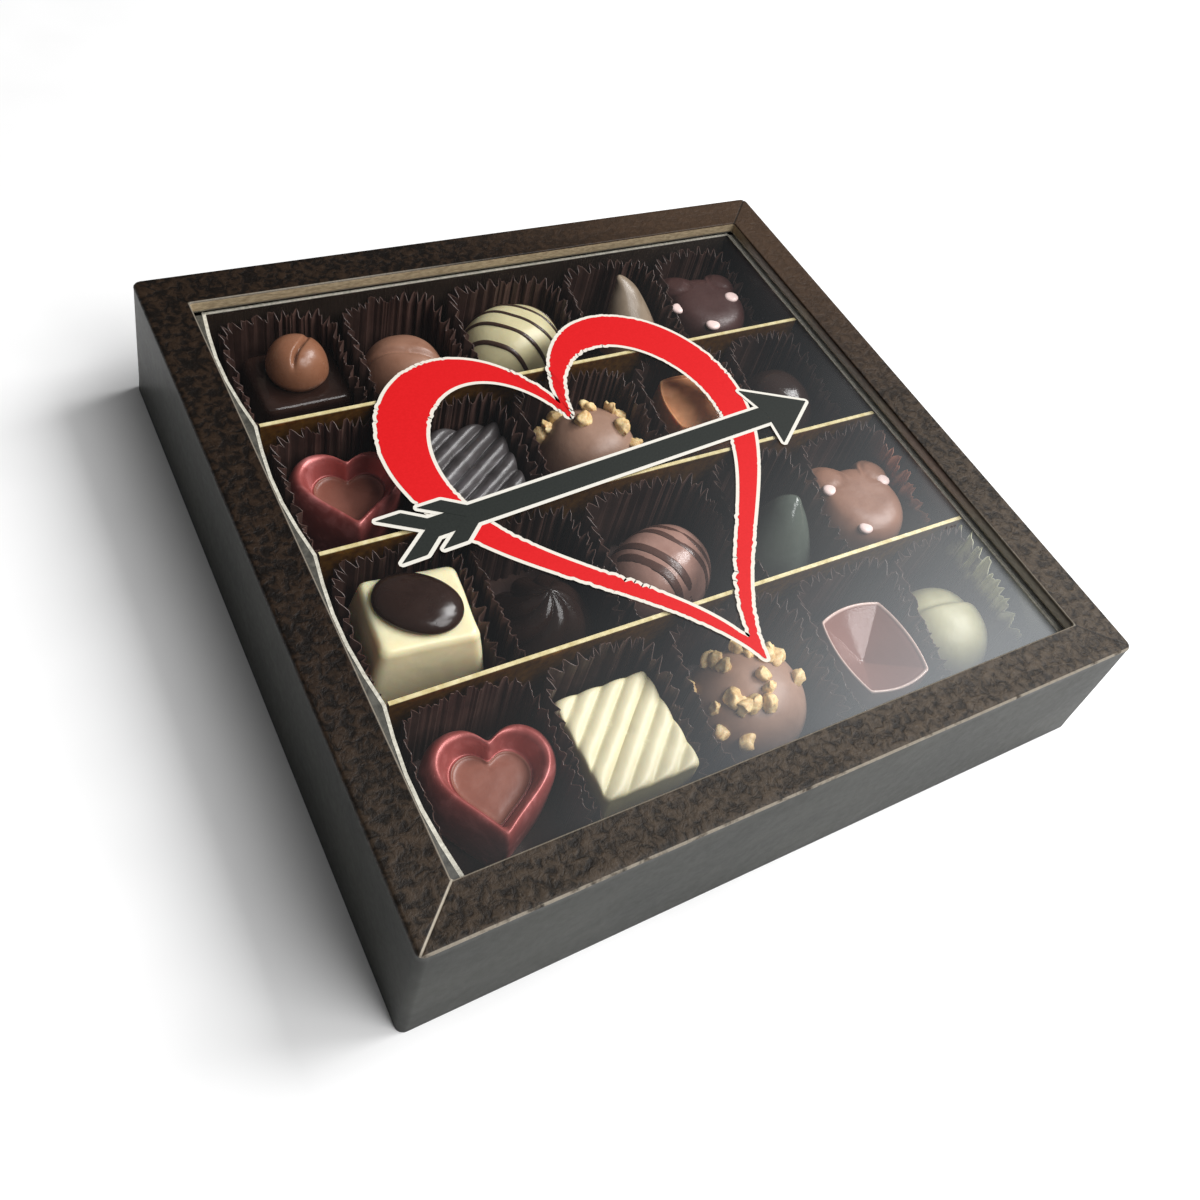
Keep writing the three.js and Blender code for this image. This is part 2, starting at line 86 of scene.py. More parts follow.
# Cups: the left and right edge of each cup, row by row from the back
CUP_BASE = 5.3
CUP_HEIGHT = 20.3
CUP_FOLD = 2.4
CUP_PITCH = 3.7
CUP_PAPER = 0.16
CUP_GAP = 0.4
CUP_DROP = 0.24
BACK_RISE = 0.14
ROW_EDGES_Y = (TRAY_ENDS_Y[0], *DIVIDERS_Y, TRAY_ENDS_Y[1])
ROW_CLEARANCE = 0.75
FRONT_DROPS = {(1, 5): 0.45, (3, 1): 0.4, (3, 5): 0.4, (4, 1): 0.3, (4, 2): 0.5, (4, 5): 0.5}
RIGHT_RISES = {(3, 5): 0.2, (4, 5): 0.27}
FOLDS = {(4, 1): 1.2}
CUP_EDGES_X = (
    (-71.7, -42.4, -15, 18, 47.2, 73.9),
    (-71.7, -42.8, -14, 19.8, 48.8, 73.9),
    (-71.7, -41.8, -13.6, 20.4, 47.8, 73.9),
    (-71.7, -41.8, -13.2, 21, 50.4, 73.9),
)

# Chocolates
FOOD_BASE = 5.95
AROUND = 120
LEVELS = 40
MOULD_REACH = 12
UNEVEN = 0.16
SWELLING = 7
SWELLING_SEED = 5

# Print
INK = 0.05
BORDER = 0.85
HEART_LIFT = 0.02
ARROW_LIFT = 0.15


def linear(*card):
    """A colour card value as the light it stands for."""
    light = [((c / 255 + 0.055) / 1.055) ** 2.4 if c > 10 else c / 255 / 12.92 for c in card]
    return *light, 1


class Graph:
    """Adds nodes to a tree and links them. A plain value in a node's inputs stands for itself."""

    def __init__(self, tree):
        self.tree = tree

    def add(self, kind, inputs=(), out=0, **settings):
        made = self.tree.nodes.new(kind)
        for name, value in settings.items():
            setattr(made, name, value)
        for key, value in dict(inputs).items():
            if isinstance(value, bpy.types.NodeSocket):
                self.tree.links.new(value, made.inputs[key])
            else:
                made.inputs[key].default_value = value
        return made.outputs[out] if made.outputs else made

    def math(self, operation, *values, clamp=False):
        return self.add("ShaderNodeMath", enumerate(values), operation=operation, use_clamp=clamp)

    def plus(self, first, second):
        return self.math("ADD", first, second)

    def minus(self, first, second):
        return self.math("SUBTRACT", first, second)

    def rest(self, share):
        """What is left of 1."""
        return self.minus(1, share)

    def times(self, first, *others):
        for other in others:
            first = self.math("MULTIPLY", first, other)
        return first

    def between(self, share, low, high):
        """low where share is 0, high where it is 1."""
        return self.math("MULTIPLY_ADD", share, self.minus(high, low), low)

    def rise(self, value, start, end):
        """0 below start and 1 above end, with a soft run between them."""
        inputs = {"Value": value, "From Min": start, "From Max": end}
        return self.add("ShaderNodeMapRange", inputs, interpolation_type="SMOOTHSTEP")


class Finish(Graph):
    """A material on one shader, whose patterns follow the object's own place."""

    def __init__(self, name, **constants):
        self.material = bpy.data.materials.new(name)
        self.material.use_nodes = True
        super().__init__(self.material.node_tree)
        self.shader = self.tree.nodes["Principled BSDF"]
        for socket, value in constants.items():
            self.shader.inputs[socket.replace("_", " ")].default_value = value
        self.place = self.add("ShaderNodeTexCoord", out="Object")
        self.height = None

    def feed(self, socket, source):
        self.tree.links.new(source, self.shader.inputs[socket])

    def axis(self, name):
        """The place along an axis, in millimetres."""
        return self.times(self.add("ShaderNodeSeparateXYZ", {0: self.place}, out=name), 1 / MM)

    def above(self, axis, start, end):
        """0 below start and 1 above end, along an axis."""
        return self.rise(self.axis(axis), start, end)

    def below(self, axis, start, end):
        return self.rest(self.above(axis, start, end))

    def glow(self, weight, radius, depth):
        """Lets a share of the light in, down to a depth in millimetres."""
        for socket, value in (("Weight", weight), ("Radius", radius), ("Scale", depth * MM)):
            self.shader.inputs[f"Subsurface {socket}"].default_value = value

    def noise(self, grain, detail=3, distortion=0, stretch=(1, 1, 1), roughness=0.55):
        """A soft pattern whose spots are about grain millimetres across."""
        where = self.add("ShaderNodeMapping", {"Vector": self.place, "Scale": stretch})
        inputs = {"Vector": where, "Scale": 1 / (grain * MM), "Detail": detail}
        inputs.update({"Roughness": roughness, "Distortion": distortion})
        return self.add("ShaderNodeTexNoise", inputs)

    def mix(self, share, low, high):
        """The colour low where share is 0 and high where it is 1."""
        inputs = {0: share, 6: low, 7: high}
        return self.add("ShaderNodeMix", inputs, out=2, data_type="RGBA")

    def ramp(self, share, *stops):
        """A run of colours along share; each stop is (place, colour card value)."""
        ramp = self.tree.nodes.new("ShaderNodeValToRGB")
        self.tree.links.new(share, ramp.inputs[0])
        elements = ramp.color_ramp.elements
        while len(elements) < len(stops):
            elements.new(1)
        for element, (place, card) in zip(elements, stops):
            element.position = place
            element.color = linear(*card)
        return ramp.outputs[0]

    def tones(self, pattern, low, high, start=0.35):
        """A run from the card colour low to high, over the middle of a pattern."""
        return self.ramp(pattern, (start, low), (1 - start, high))

    def emboss(self, height, distance):
        """Raises the surface by height times distance millimetres, on top of earlier relief."""
        inputs = {"Height": height, "Distance": distance * MM, "Strength": 1}
        if self.height:
            inputs["Normal"] = self.height
        self.height = self.add("ShaderNodeBump", inputs)
        self.feed("Normal", self.height)


# Outlines: closed runs of points round the middle, anticlockwise


def turned(x, y, turn, start=(0, 0)):
    """The place (x, y), turned anticlockwise about the middle, then moved by start."""
    c, s = math.cos(math.radians(turn)), math.sin(math.radians(turn))
    return start[0] + x * c - y * s, start[1] + x * s + y * c


def superellipse(half_x, half_y, power, count=AROUND):
    angle = np.arange(count) / count * 2 * math.pi
    c, s = np.cos(angle), np.sin(angle)
    reach = (abs(c) ** power + abs(s) ** power) ** (-1 / power)
    return np.column_stack([half_x * c * reach, half_y * s * reach])


def even(outline, count=AROUND):
    """The same closed outline, with its points evenly spaced."""
    closed = np.vstack([outline, outline[:1]])
    along = np.concatenate([[0], np.cumsum(np.linalg.norm(np.diff(closed, axis=0), axis=1))])
    stops = np.arange(count) / count * along[-1]
    return np.column_stack([np.interp(stops, along, closed[:, k]) for k in (0, 1)])


def level(outline, z):
    """The outline's points at height z."""
    return np.column_stack([outline, np.full(len(outline), z)])


def corner_arcs(half_x, half_y, radius):
    """The four rounded corners of a rectangle, from the back right one."""
    arcs = []
    for quarter, (sx, sy) in enumerate(((1, 1), (-1, 1), (-1, -1), (1, -1))):
        angles = (quarter + np.linspace(0, 1, CORNER_STEPS + 1)) * math.pi / 2
        arcs.append(np.column_stack([sx * (half_x - radius) + radius * np.cos(angles),
                                     sy * (half_y - radius) + radius * np.sin(angles)]))
    return arcs


def rounded_rectangle(half_x, half_y, radius, count=AROUND):
    return even(np.vstack(corner_arcs(half_x, half_y, radius)), count)


def barrel(half_x, half_y, bulge, radius, count=AROUND):
    """A rectangle whose four sides swell outwards between its corners."""
    corners = np.array([(1, 1), (-1, 1), (-1, -1), (1, -1)]) * (half_x, half_y)
    points = []
    for start, end in zip(corners, np.roll(corners, -1, axis=0)):
        share = np.linspace(0, 1, 24, endpoint=False)[:, None]
        side = start + share * (end - start)
        outward = (start + end) / np.linalg.norm(start + end)
        points.append(side + 4 * bulge * share * (1 - share) * outward)
    return even(softened(even(np.vstack(points), 4 * count), radius * 2), count)


def softened(outline, reach):
    """The evenly spaced outline, averaged over reach millimetres along itself."""
    step = np.linalg.norm(np.diff(outline, axis=0), axis=1).mean()
    spread = max(1, round(reach / step / 2))
    return sum(np.roll(outline, k, axis=0) for k in range(-spread, spread + 1)) / (2 * spread + 1)


def heart_outline(width, length, plumpness=0.3, count=AROUND):
    t = math.pi - np.arange(4 * count) / (4 * count) * 2 * math.pi
    wave = 13 * np.cos(t) - 5 * np.cos(2 * t) - 2 * np.cos(3 * t) - np.cos(4 * t)
    heart = np.column_stack([np.sin(t) ** 3, (wave + 2.5) / 14.5])
    oval = np.column_stack([np.sin(t), np.cos(t)])
    return even((heart + plumpness * (oval - heart)) * (width / 2, length / 2), count)


def bear_outline(width, length):
    """The outer edge of three overlapping circles: two ears above a broad cheek."""
    points = []
    for angle in np.arange(4 * AROUND) / (4 * AROUND) * 2 * math.pi:
        c, s = math.cos(angle), math.sin(angle)
        reach = 0
        for x, y, r in ((-0.6, 0.58, 0.4), (0.6, 0.58, 0.4), (0, -0.1, 0.9)):
            across = x * s - y * c
            if abs(across) < r:
                reach = max(reach, x * c + y * s + math.sqrt(r * r - across * across))
        points.append((c * reach * width / 2, s * reach * length / 2))
    return even(np.array(points))


def flowing(points, count):
    """A smooth run through the points, sampled evenly."""
    p = np.array(points, float)
    t = np.concatenate([[0], np.cumsum(np.linalg.norm(np.diff(p, axis=0), axis=1) ** 0.7)])
    slope = np.gradient(p, t, axis=0)
    stops = np.linspace(0, t[-1], count)
    k = np.clip(np.searchsorted(t, stops, side="right") - 1, 0, len(t) - 2)
    span = (t[k + 1] - t[k])[:, None]
    u = (stops - t[k])[:, None] / span
    start = (2 * u**3 - 3 * u**2 + 1) * p[k] + (u**3 - 2 * u**2 + u) * span * slope[k]
    return start + (3 * u**2 - 2 * u**3) * p[k + 1] + (u**3 - u**2) * span * slope[k + 1]


# Meshes: each is a pair, its points and its faces, in millimetres


def shown(name, data):
    """A new object in the scene."""
    made = bpy.data.objects.new(name, data)
    bpy.context.scene.collection.objects.link(made)
    return made


def loft(rings):
    """A closed skin through rings of equal count, ended by a fan at each end."""
    levels, count = rings.shape[:2]
    points = np.vstack([rings.reshape(-1, 3), rings[0].mean(0), rings[-1].mean(0)])
    low, high = levels * count, levels * count + 1
    last = (levels - 1) * count
    faces = []
    for i in range(count):
        j = (i + 1) % count
        faces += [(k * count + i, k * count + j, k * count + count + j, k * count + count + i)
                  for k in range(levels - 1)]
        faces += [(low, j, i), (high, last + i, last + j)]
    return points, faces


def closed_loft(rings):
    """A skin through rings that come back to the first one, as round a frame."""
    levels, count = rings.shape[:2]
    faces = []
    for k in range(levels):
        for i in range(count):
            j = (i + 1) % count
            after = (k + 1) % levels * count
            faces.append((k * count + i, k * count + j, after + j, after + i))
    return rings.reshape(-1, 3), faces


def mould(outline, steps, levels=LEVELS):
    """One outline scaled through smooth (scale, height) steps, from the foot to the crown."""
    run = flowing([(scale * MOULD_REACH, z) for scale, z in steps], levels)
    return loft(np.array([level(outline * scale / MOULD_REACH, z) for scale, z in run]))


def dome(outline, height, foot=0.9, levels=LEVELS):
    climbs = np.linspace(0, 0.985, 14) * math.pi / 2
    steps = [(0.04, 0), (foot - 0.05, 0), (foot, 0.02 * height)]
    steps += [(math.cos(a) ** 0.75, height * (0.22 + 0.78 * math.sin(a))) for a in climbs]
    return mould(outline, steps, levels)


def press(mesh, depth_at, floor):
    """Lowers what lies above floor by depth_at(x, y), fading towards the floor."""
    points, faces = mesh
    x, y, z = points.T
    share = np.clip((z - floor) / (z.max() - floor), 0, 1) ** 0.6
    return np.column_stack([x, y, z - share * depth_at(x, y)]), faces


def furrow(turn, width, depth, bend=0, length=99, offset=0):
    """The depth of one straight or S-shaped furrow, offset from the middle if asked."""
    def depth_at(x, y):
        along, across = turned(x, y, -turn)
        across = across - offset - bend * np.sin(along / 2.6)
        return depth * np.exp(-((2 * along / length) ** 6)) * np.exp(-(across / width) ** 2)

    return depth_at


def lobe_step(turn, depth, offset):
    """The far side of a line lies depth lower than the near side."""
    def depth_at(x, y):
        across = turned(x, y, -turn)[1] - offset
        return depth * np.exp(-np.clip(across, 0, 99) / 6) / (1 + np.exp(-across / 0.22))

    return depth_at


def waves(pitch, relief, turn, sharpness):
    """The depth of even grooves whose ridges run at right angles to turn."""
    def depth_at(x, y):
        along = turned(x, y, -turn)[0]
        return relief * (1 - abs(np.sin(math.pi * along / pitch)) ** sharpness)

    return depth_at


def placed(mesh, x, y, z=FOOD_BASE, turn=0):
    points, faces = mesh
    c, s = turned(1, 0, turn)
    return points @ np.array([[c, s, 0], [-s, c, 0], [0, 0, 1]]) + (x, y, z), faces


def uneven(mesh, amount=UNEVEN):
    """Small swellings and dips, as poured chocolate has; the seed keeps them the same each run."""
    points, faces = mesh
    noise.seed_set(SWELLING_SEED)
    shifts = [noise.noise_vector(Vector(p) / SWELLING) for p in points]
    return points + amount * np.array(shifts), faces


def piece(name, mesh, *finishes, bands=None, smooth=True):
    """A new object at the origin; bands gives each face's place in finishes."""
    points, faces = mesh
    data = bpy.data.meshes.new(name)
    data.from_pydata((np.array(points) * MM).tolist(), [], [tuple(f) for f in faces])
    shape = bmesh.new()
    shape.from_mesh(data)
    bmesh.ops.recalc_face_normals(shape, faces=shape.faces)
    shape.to_mesh(data)
    shape.free()
    for finish in finishes:
        data.materials.append(finish)
    if bands is not None:
        data.polygons.foreach_set("material_index", np.array(bands, np.int32))
    data.polygons.foreach_set("use_smooth", [smooth] * len(data.polygons))
    made = shown(name, data)
    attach(made, BODY)
    return made


def together(*meshes):
    points, faces, start = [], [], 0
    for some, their_faces in meshes:
        points.append(some)
        faces += [tuple(start + i for i in face) for face in their_faces]
        start += len(some)
    return np.vstack(points), faces


# Finishes


def chocolate(name, card, gloss=0.36, spread=8, bloom=(0, 0, 0), body=0.0, depth=1.6, colour_below=None,
              **constants):
    """Tempered chocolate: a soft sheen, faint clouds and a fine skin. body is the share of light
    that enters it, depth how far the light goes.

    hollows, if given, is (low, high, colour): the colour that the piece takes below those heights.
    """
    finish = Finish(name, Roughness=gloss, IOR=1.46, **constants)
    dark = [max(0, c - spread) for c in card]
    light = [min(255, c + spread + b) for c, b in zip(card, bloom)]
    clouds = finish.noise(6, detail=4, distortion=0.6)
    colour = finish.ramp(clouds, (0.32, dark), (0.5, card), (0.72, light))
    if colour_below:
        low, high, deep = colour_below
        raised = finish.above("Z", FOOD_BASE + low, FOOD_BASE + high)
        colour = finish.mix(raised, linear(*deep), colour)
    finish.feed("Base Color", colour)
    skin = finish.noise(1.1, detail=4)
    finish.feed("Roughness", finish.between(skin, gloss - 0.07, gloss + 0.09))
    finish.emboss(finish.noise(3.2, detail=2), 0.09)
    finish.emboss(skin, 0.03)
    if body:
        finish.glow(body, (1, 0.6, 0.35), depth)
    return finish.material


def cocoa_print():
    """The rim's mottled dark print on a crumbly card; painted sheen makes it paler to the front and
    the right.
    """
    finish = Finish("cocoa print", Roughness=0.5, Specular_IOR_Level=0.22)
    blotches = finish.noise(1.8, detail=6, distortion=0.5, roughness=0.62)
    print_without_sheen = finish.ramp(blotches, (0.39, (11, 6, 3)), (0.475, (18, 11, 6)), (0.525, (34, 23, 14)),
                        (0.68, (46, 33, 22)))
    # Painted sheen: a paler copy of the print, mixed in towards the front and the right, where the
    # rim catches a glossy reflection.
    print_with_sheen = finish.ramp(blotches, (0.36, (23, 17, 11)), (0.45, (44, 35, 25)), (0.51, (62, 52, 41)),
                         (0.68, (80, 68, 55)))
    along = finish.minus(finish.times(finish.axis("X"), 0.5), finish.axis("Y"))
    patches = finish.math("MULTIPLY_ADD", finish.noise(26, detail=2), 30, along)
    colour = finish.mix(finish.rise(patches, -10, 130), print_without_sheen, print_with_sheen)
    to_corner = finish.plus(finish.axis("X"), finish.axis("Y"))
    brown = finish.times(finish.rise(to_corner, 60, 150), 0.5)
    finish.feed("Base Color", finish.mix(brown, colour, linear(84, 64, 48)))
    finish.feed("Roughness", finish.between(finish.noise(0.9), 0.4, 0.6))
    finish.emboss(blotches, 0.3)
    finish.emboss(finish.noise(0.5, detail=2), 0.05)
    return finish


def worn_edges(finish):
    """The mitres, and the pale fibre where the folds and the mitres of the rim have worn."""
    from_side = finish.minus(LID_X / 2, finish.math("ABSOLUTE", finish.axis("X")))
    from_end = finish.minus(LID_Y / 2, finish.math("ABSOLUTE", finish.axis("Y")))
    seam = finish.math("ABSOLUTE", finish.minus(from_side, from_end))
    near_seam = finish.rest(finish.rise(seam, 0.12, 0.42))
    at_front = finish.below("Y", -60, -20)
    at_left = finish.below("X", -40, 10)
    fibre = finish.rise(finish.noise(2.6, detail=4), 0.3, 0.52)
    fold = finish.rest(finish.rise(from_end, 0.1, 0.26))
    front_fold = finish.times(fold, at_front, fibre, 0.6)
    front_seam = finish.times(near_seam, at_front, at_left)
    inward = finish.math("MINIMUM", from_side, from_end)
    lip = finish.rise(inward, RIM_WIDTH - 0.4, RIM_WIDTH - 0.2)
    lip = finish.times(lip, finish.math("MAXIMUM", at_front, at_left), 0.45)
    worn = finish.math("MAXIMUM", finish.math("MAXIMUM", front_fold, front_seam), lip)
    return near_seam, worn


def rim_finish():
    finish = cocoa_print()
    near_seam, worn = worn_edges(finish)
    colour = finish.shader.inputs["Base Color"].links[0].from_socket
    seamed = finish.mix(finish.times(near_seam, 0.8), colour, linear(20, 17, 14))
    finish.feed("Base Color", finish.mix(worn, seamed, linear(176, 166, 150)))
    return finish.material


def wall_finish():
    """The lid's plain side card: dark grey-green, satin, with a painted dark shadow line at the
    foot.
    """
    finish = Finish("satin side card", Roughness=0.4, Specular_IOR_Level=0.12)
    clouds = finish.noise(26, detail=2, stretch=(1, 1, 2.5))
    card = finish.tones(clouds, (29, 31, 26), (43, 44, 38), 0.3)
    # Painted shade: a dark contact shadow line along the foot of the walls.
    foot = finish.below("Z", 0.4, 1.5)
    finish.feed("Base Color", finish.mix(foot, card, linear(12, 13, 12)))
    finish.feed("Roughness", finish.between(finish.noise(1.4, detail=4), 0.33, 0.47))
    finish.emboss(finish.noise(14, detail=2), 0.25)
    finish.emboss(finish.noise(0.35, detail=2), 0.02)
    return finish.material


def well_finish():
    """The sunk edge round the window, with its pale cut card along the bottom; the walls' colours
    carry painted light and shade.
    """
    finish = Finish("well card", Roughness=0.5)
    at_back = finish.above("Y", 60, 70)
    grain = finish.noise(1.3, detail=4, stretch=(1, 1, 3))
    # Painted light and shade: dark card where the right wall lies in shade, beige on the back wall
    # where light falls on it.
    dark = finish.tones(grain, (44, 38, 32), (66, 58, 50))
    # Painted reflection: pale card low on the right wall, paler towards the bottom.
    pale = finish.tones(grain, (212, 208, 200), (238, 234, 226))
    back_wall_lit_beige = finish.tones(grain, (154, 136, 108), (188, 170, 138))
    at_right = finish.above("X", 60, 70)
    below = finish.below("Z", 31.2, 32.8)
    shade_and_reflection = finish.mix(finish.times(at_right, below), dark, pale)
    wall = finish.mix(at_back, shade_and_reflection, back_wall_lit_beige)
    cut = finish.below("Z", 30.28, 30.42)
    finish.feed("Base Color", finish.mix(cut, wall, linear(172, 166, 150)))
    finish.emboss(grain, 0.1)
    return finish.material


def tray_finish():
    """Glossy dark card, with pale fibre along its cut top."""
    finish = Finish("glossy tray card", Roughness=0.22, Coat_Weight=0.4, Coat_Roughness=0.1)
    grain = finish.noise(9, detail=3)
    card = finish.tones(grain, (34, 26, 22), (48, 38, 32))
    fibre = finish.noise(0.7, detail=3)
    edge = finish.tones(fibre, (176, 172, 158), (224, 220, 206), 0.3)
    cut = finish.above("Z", TRAY_TOP - 0.3, TRAY_TOP - 0.15)
    finish.feed("Base Color", finish.mix(cut, card, edge))
    finish.emboss(grain, 0.15)
    finish.emboss(fibre, 0.02)
    return finish.material


def ledge_finish():
    """Worn silver card: grey on the left of the tray, and painted nearly white on the right as
    painted light where it lies in the rim's shade.
    """
    finish = Finish("silver grey ledge", Roughness=0.42)
    grain = finish.noise(1.8, detail=4, distortion=0.5)
    worn = finish.tones(grain, (52, 51, 46), (94, 92, 84), 0.32)
    # Painted light: pale card on the right, standing in for light that the rim's shade keeps off.
    painted_light_pale = finish.tones(grain, (222, 220, 214), (240, 238, 232), 0.32)
    finish.feed("Base Color", finish.mix(finish.above("X", -1, 1), worn, painted_light_pale))
    finish.emboss(grain, 0.08)
    return finish.material


def gold_finish():
    """Gold paper on both faces of the dividers, brightest along the fold at the top."""
    finish = Finish("gold paper")
    scuffs = finish.noise(1.5, detail=4)
    face = finish.tones(scuffs, (140, 88, 30), (188, 132, 52), 0.3)
    fold = finish.tones(scuffs, (208, 190, 132), (238, 226, 180), 0.3)
    top = finish.above("Z", TRAY_TOP - 0.3, TRAY_TOP - 0.1)
    finish.feed("Base Color", finish.mix(top, face, fold))
    finish.feed("Metallic", finish.between(top, 0.85, 0.15))
    finish.feed("Roughness", finish.between(scuffs, 0.24, 0.42))
    finish.emboss(finish.noise(2.4, detail=3), 0.12)
    return finish.material


def paper_finish():
    """Dark brown glassine paper, with a painted reflection of the shell and the milk bear on it at
    the right.
    """
    finish = Finish("dark cup paper", Roughness=0.42, Specular_IOR_Level=0.4)
    fibre = finish.noise(5, detail=3)
    paper = finish.tones(fibre, (62, 43, 38), (82, 60, 53), 0.3)
    # Painted reflection: reddish for the milk bear and pale for the shell, high on the right walls
    # of the right-hand cups in the two front rows.
    painted_reflection = finish.mix(finish.below("Y", -37, -36), linear(190, 128, 104), linear(226, 226, 188))
    at_right = finish.rise(finish.math("MULTIPLY_ADD", fibre, 4, finish.axis("X")), 72.6, 74)
    reach = finish.times(at_right, finish.below("Y", -12, -4), finish.above("Z", 19, 23))
    finish.feed("Base Color", finish.mix(reach, paper, painted_reflection))
    finish.feed("Roughness", finish.between(finish.noise(3), 0.36, 0.5))
    finish.emboss(fibre, 0.06)
    return finish.material


def window_finish():
    """Clear film: nearly all light passes, and a hazy sheen grows towards the front right."""
    finish = Finish("clear film", Metallic=1, Roughness=0.42)
    clouds = finish.noise(45, detail=2)
    finish.feed("Base Color", finish.tones(clouds, (214, 220, 226), (232, 236, 238), 0.3))
    along = finish.plus(finish.axis("X"), finish.times(finish.axis("Y"), -0.8))
    patches = finish.math("MULTIPLY_ADD", clouds, 24, along)
    veil = finish.math("POWER", finish.rise(patches, -60, 130), 1.2)
    finish.feed("Alpha", finish.between(veil, 0.01, 0.045))
    finish.emboss(finish.noise(70, detail=1), 0.3)
    return finish.material


def ink_finish(name, card):
    finish = Finish(name, Roughness=0.5, Specular_IOR_Level=0.3)
    grain = finish.noise(0.5, detail=3)
    finish.feed("Base Color", finish.tones(grain, [max(0, c - 6) for c in card], card))
    finish.emboss(grain, 0.01)
    return finish.material


def base_finish():
    finish = Finish("matte base card", Roughness=0.65)
    grain = finish.noise(2.2, detail=5)
    finish.feed("Base Color", finish.tones(grain, (40, 42, 40), (54, 56, 53)))
    finish.emboss(grain, 0.08)
    return finish.material


def nut_finish():
    finish = Finish("roasted nut", Roughness=0.5)
    finish.glow(0.2, (1, 0.6, 0.3), 0.8)
    roast = finish.noise(1.6, detail=4, distortion=0.5)
    stops = ((0.3, (202, 160, 104)), (0.5, (228, 196, 140)), (0.7, (242, 220, 172)))
    finish.feed("Base Color", finish.ramp(roast, *stops))
    finish.emboss(finish.noise(0.5, detail=4), 0.08)
    return finish.material


def pearly(name, card, gleam):
    """Coloured cocoa butter with a fine pearl in it."""
    finish = Finish(name, Metallic=0.35, Roughness=0.4, Coat_Weight=0.2, Coat_Roughness=0.3)
    clouds = finish.noise(5, detail=4, distortion=0.5)
    dark = [max(0, c - 12) for c in card]
    finish.feed("Base Color", finish.ramp(clouds, (0.3, dark), (0.5, card), (0.75, gleam)))
    finish.feed("Roughness", finish.between(finish.noise(0.8), 0.34, 0.48))
    finish.emboss(finish.noise(2.6, detail=2), 0.07)
    return finish.material


DARK = chocolate("dark chocolate", (42, 27, 22), gloss=0.19, spread=5)
DARK_WARM = chocolate("dark bear chocolate", (66, 40, 37), gloss=0.4, spread=5)
GREEN_BLACK = chocolate("black horn chocolate", (82, 90, 82), gloss=0.14, spread=6)
BAR_GREY = chocolate("bloomed dark chocolate", (62, 58, 58), gloss=0.3, spread=8, bloom=(14, 14, 16))
MILK = chocolate("milk chocolate", (144, 104, 84), gloss=0.36)
MILK_PALE = chocolate("pale milk chocolate", (150, 118, 100), gloss=0.42)
MILK_WARM = chocolate("warm milk chocolate", (138, 93, 69), gloss=0.28)
MILK_ROSE = chocolate("rosy milk chocolate", (160, 124, 112), gloss=0.22)
FACETS = chocolate("edged milk chocolate", (214, 186, 176), gloss=0.15, spread=5,
                   colour_below=(14, 14.5, (126, 88, 80)))
HORN = chocolate("horn chocolate", (136, 120, 102), gloss=0.3, spread=14,
                 colour_below=(2, 17, (150, 108, 82)))
# Painted reflection: the amber colour low on the block stands in for the warm light of the gold
# dividers.
WHITE = chocolate("white chocolate", (238, 227, 188), gloss=0.3, spread=6, body=0.7, depth=3.4,
                  colour_below=(-8, 9, (244, 204, 132)))
# Painted shade: a darker copy of the white chocolate, for the back row, which gets less light.
WHITE_DOME_SHADED = chocolate("white dome chocolate", (204, 195, 155), gloss=0.34, spread=6, body=0.2)
# Painted shade: darker, yellower colour below the ridge tops, in the grooves and down the sides.
WHITE_RIBS = chocolate("ribbed white chocolate", (218, 210, 176), gloss=0.4, spread=5, body=0.2,
                       colour_below=(12.6, 14, (206, 196, 146)))
SHELL = chocolate("shell white chocolate", (176, 172, 138), gloss=0.42, spread=6, body=0.25)
CARAMEL = chocolate("caramel glaze", (230, 166, 122), gloss=0.13, spread=18, body=0.3)
STRIPE = chocolate("dark drizzle", (60, 42, 34), gloss=0.28, spread=5)
STRIPE_MILK = chocolate("brown stripe", (84, 58, 50), gloss=0.26, spread=5)
DOT = chocolate("pink white dots", (240, 214, 208), gloss=0.35, spread=5)
RED = pearly("red coating", (160, 80, 76), (206, 128, 126))
RED_MIDDLE = chocolate("milk heart middle", (132, 82, 68), gloss=0.36)
PAPER = paper_finish()
NUT = nut_finish()


# Camera, floor and light


def camera():
    data = bpy.data.cameras.new("camera")
    data.lens = LENS
    data.sensor_width = SENSOR
    data.clip_start = 0.01
    eye = shown("camera", data)
    aim = Matrix((CAMERA_RIGHT, CAMERA_UP, CAMERA_BACK)).transposed().to_4x4()
    eye.matrix_world = Matrix.Translation(Vector(CAMERA_AT) * MM) @ aim
    bpy.context.scene.camera = eye


def floor():
    half, drop = 3000, 0.05
    corners = level(np.array([(-half, -half), (half, -half), (half, half), (-half, half)]), -drop)
    finish = Finish("pale floor", Roughness=0.8)
    grain = finish.noise(40, detail=2)
    finish.feed("Base Color", finish.tones(grain, (246, 246, 246), (252, 252, 252), 0.3))
    data = bpy.data.meshes.new("floor")
    data.from_pydata((corners * MM).tolist(), [], [(0, 1, 2, 3)])
    data.materials.append(finish.material)
    ground = shown("floor", data)


def soft_box(name, azimuth, elevation, distance, size, power):
    """A square light that faces the box. Azimuth runs from the back towards the right."""
    data = bpy.data.lights.new(name, "AREA")
    data.shape = "SQUARE"
    data.size = size
    data.energy = power
    a, e = math.radians(azimuth), math.radians(elevation)
    out = Vector((math.sin(a) * math.cos(e), math.cos(a) * math.cos(e), math.sin(e)))
    light = shown(name, data)
    light.location = out * distance
    light.rotation_mode = "QUATERNION"
    light.rotation_quaternion = out.to_track_quat("Z", "Y")


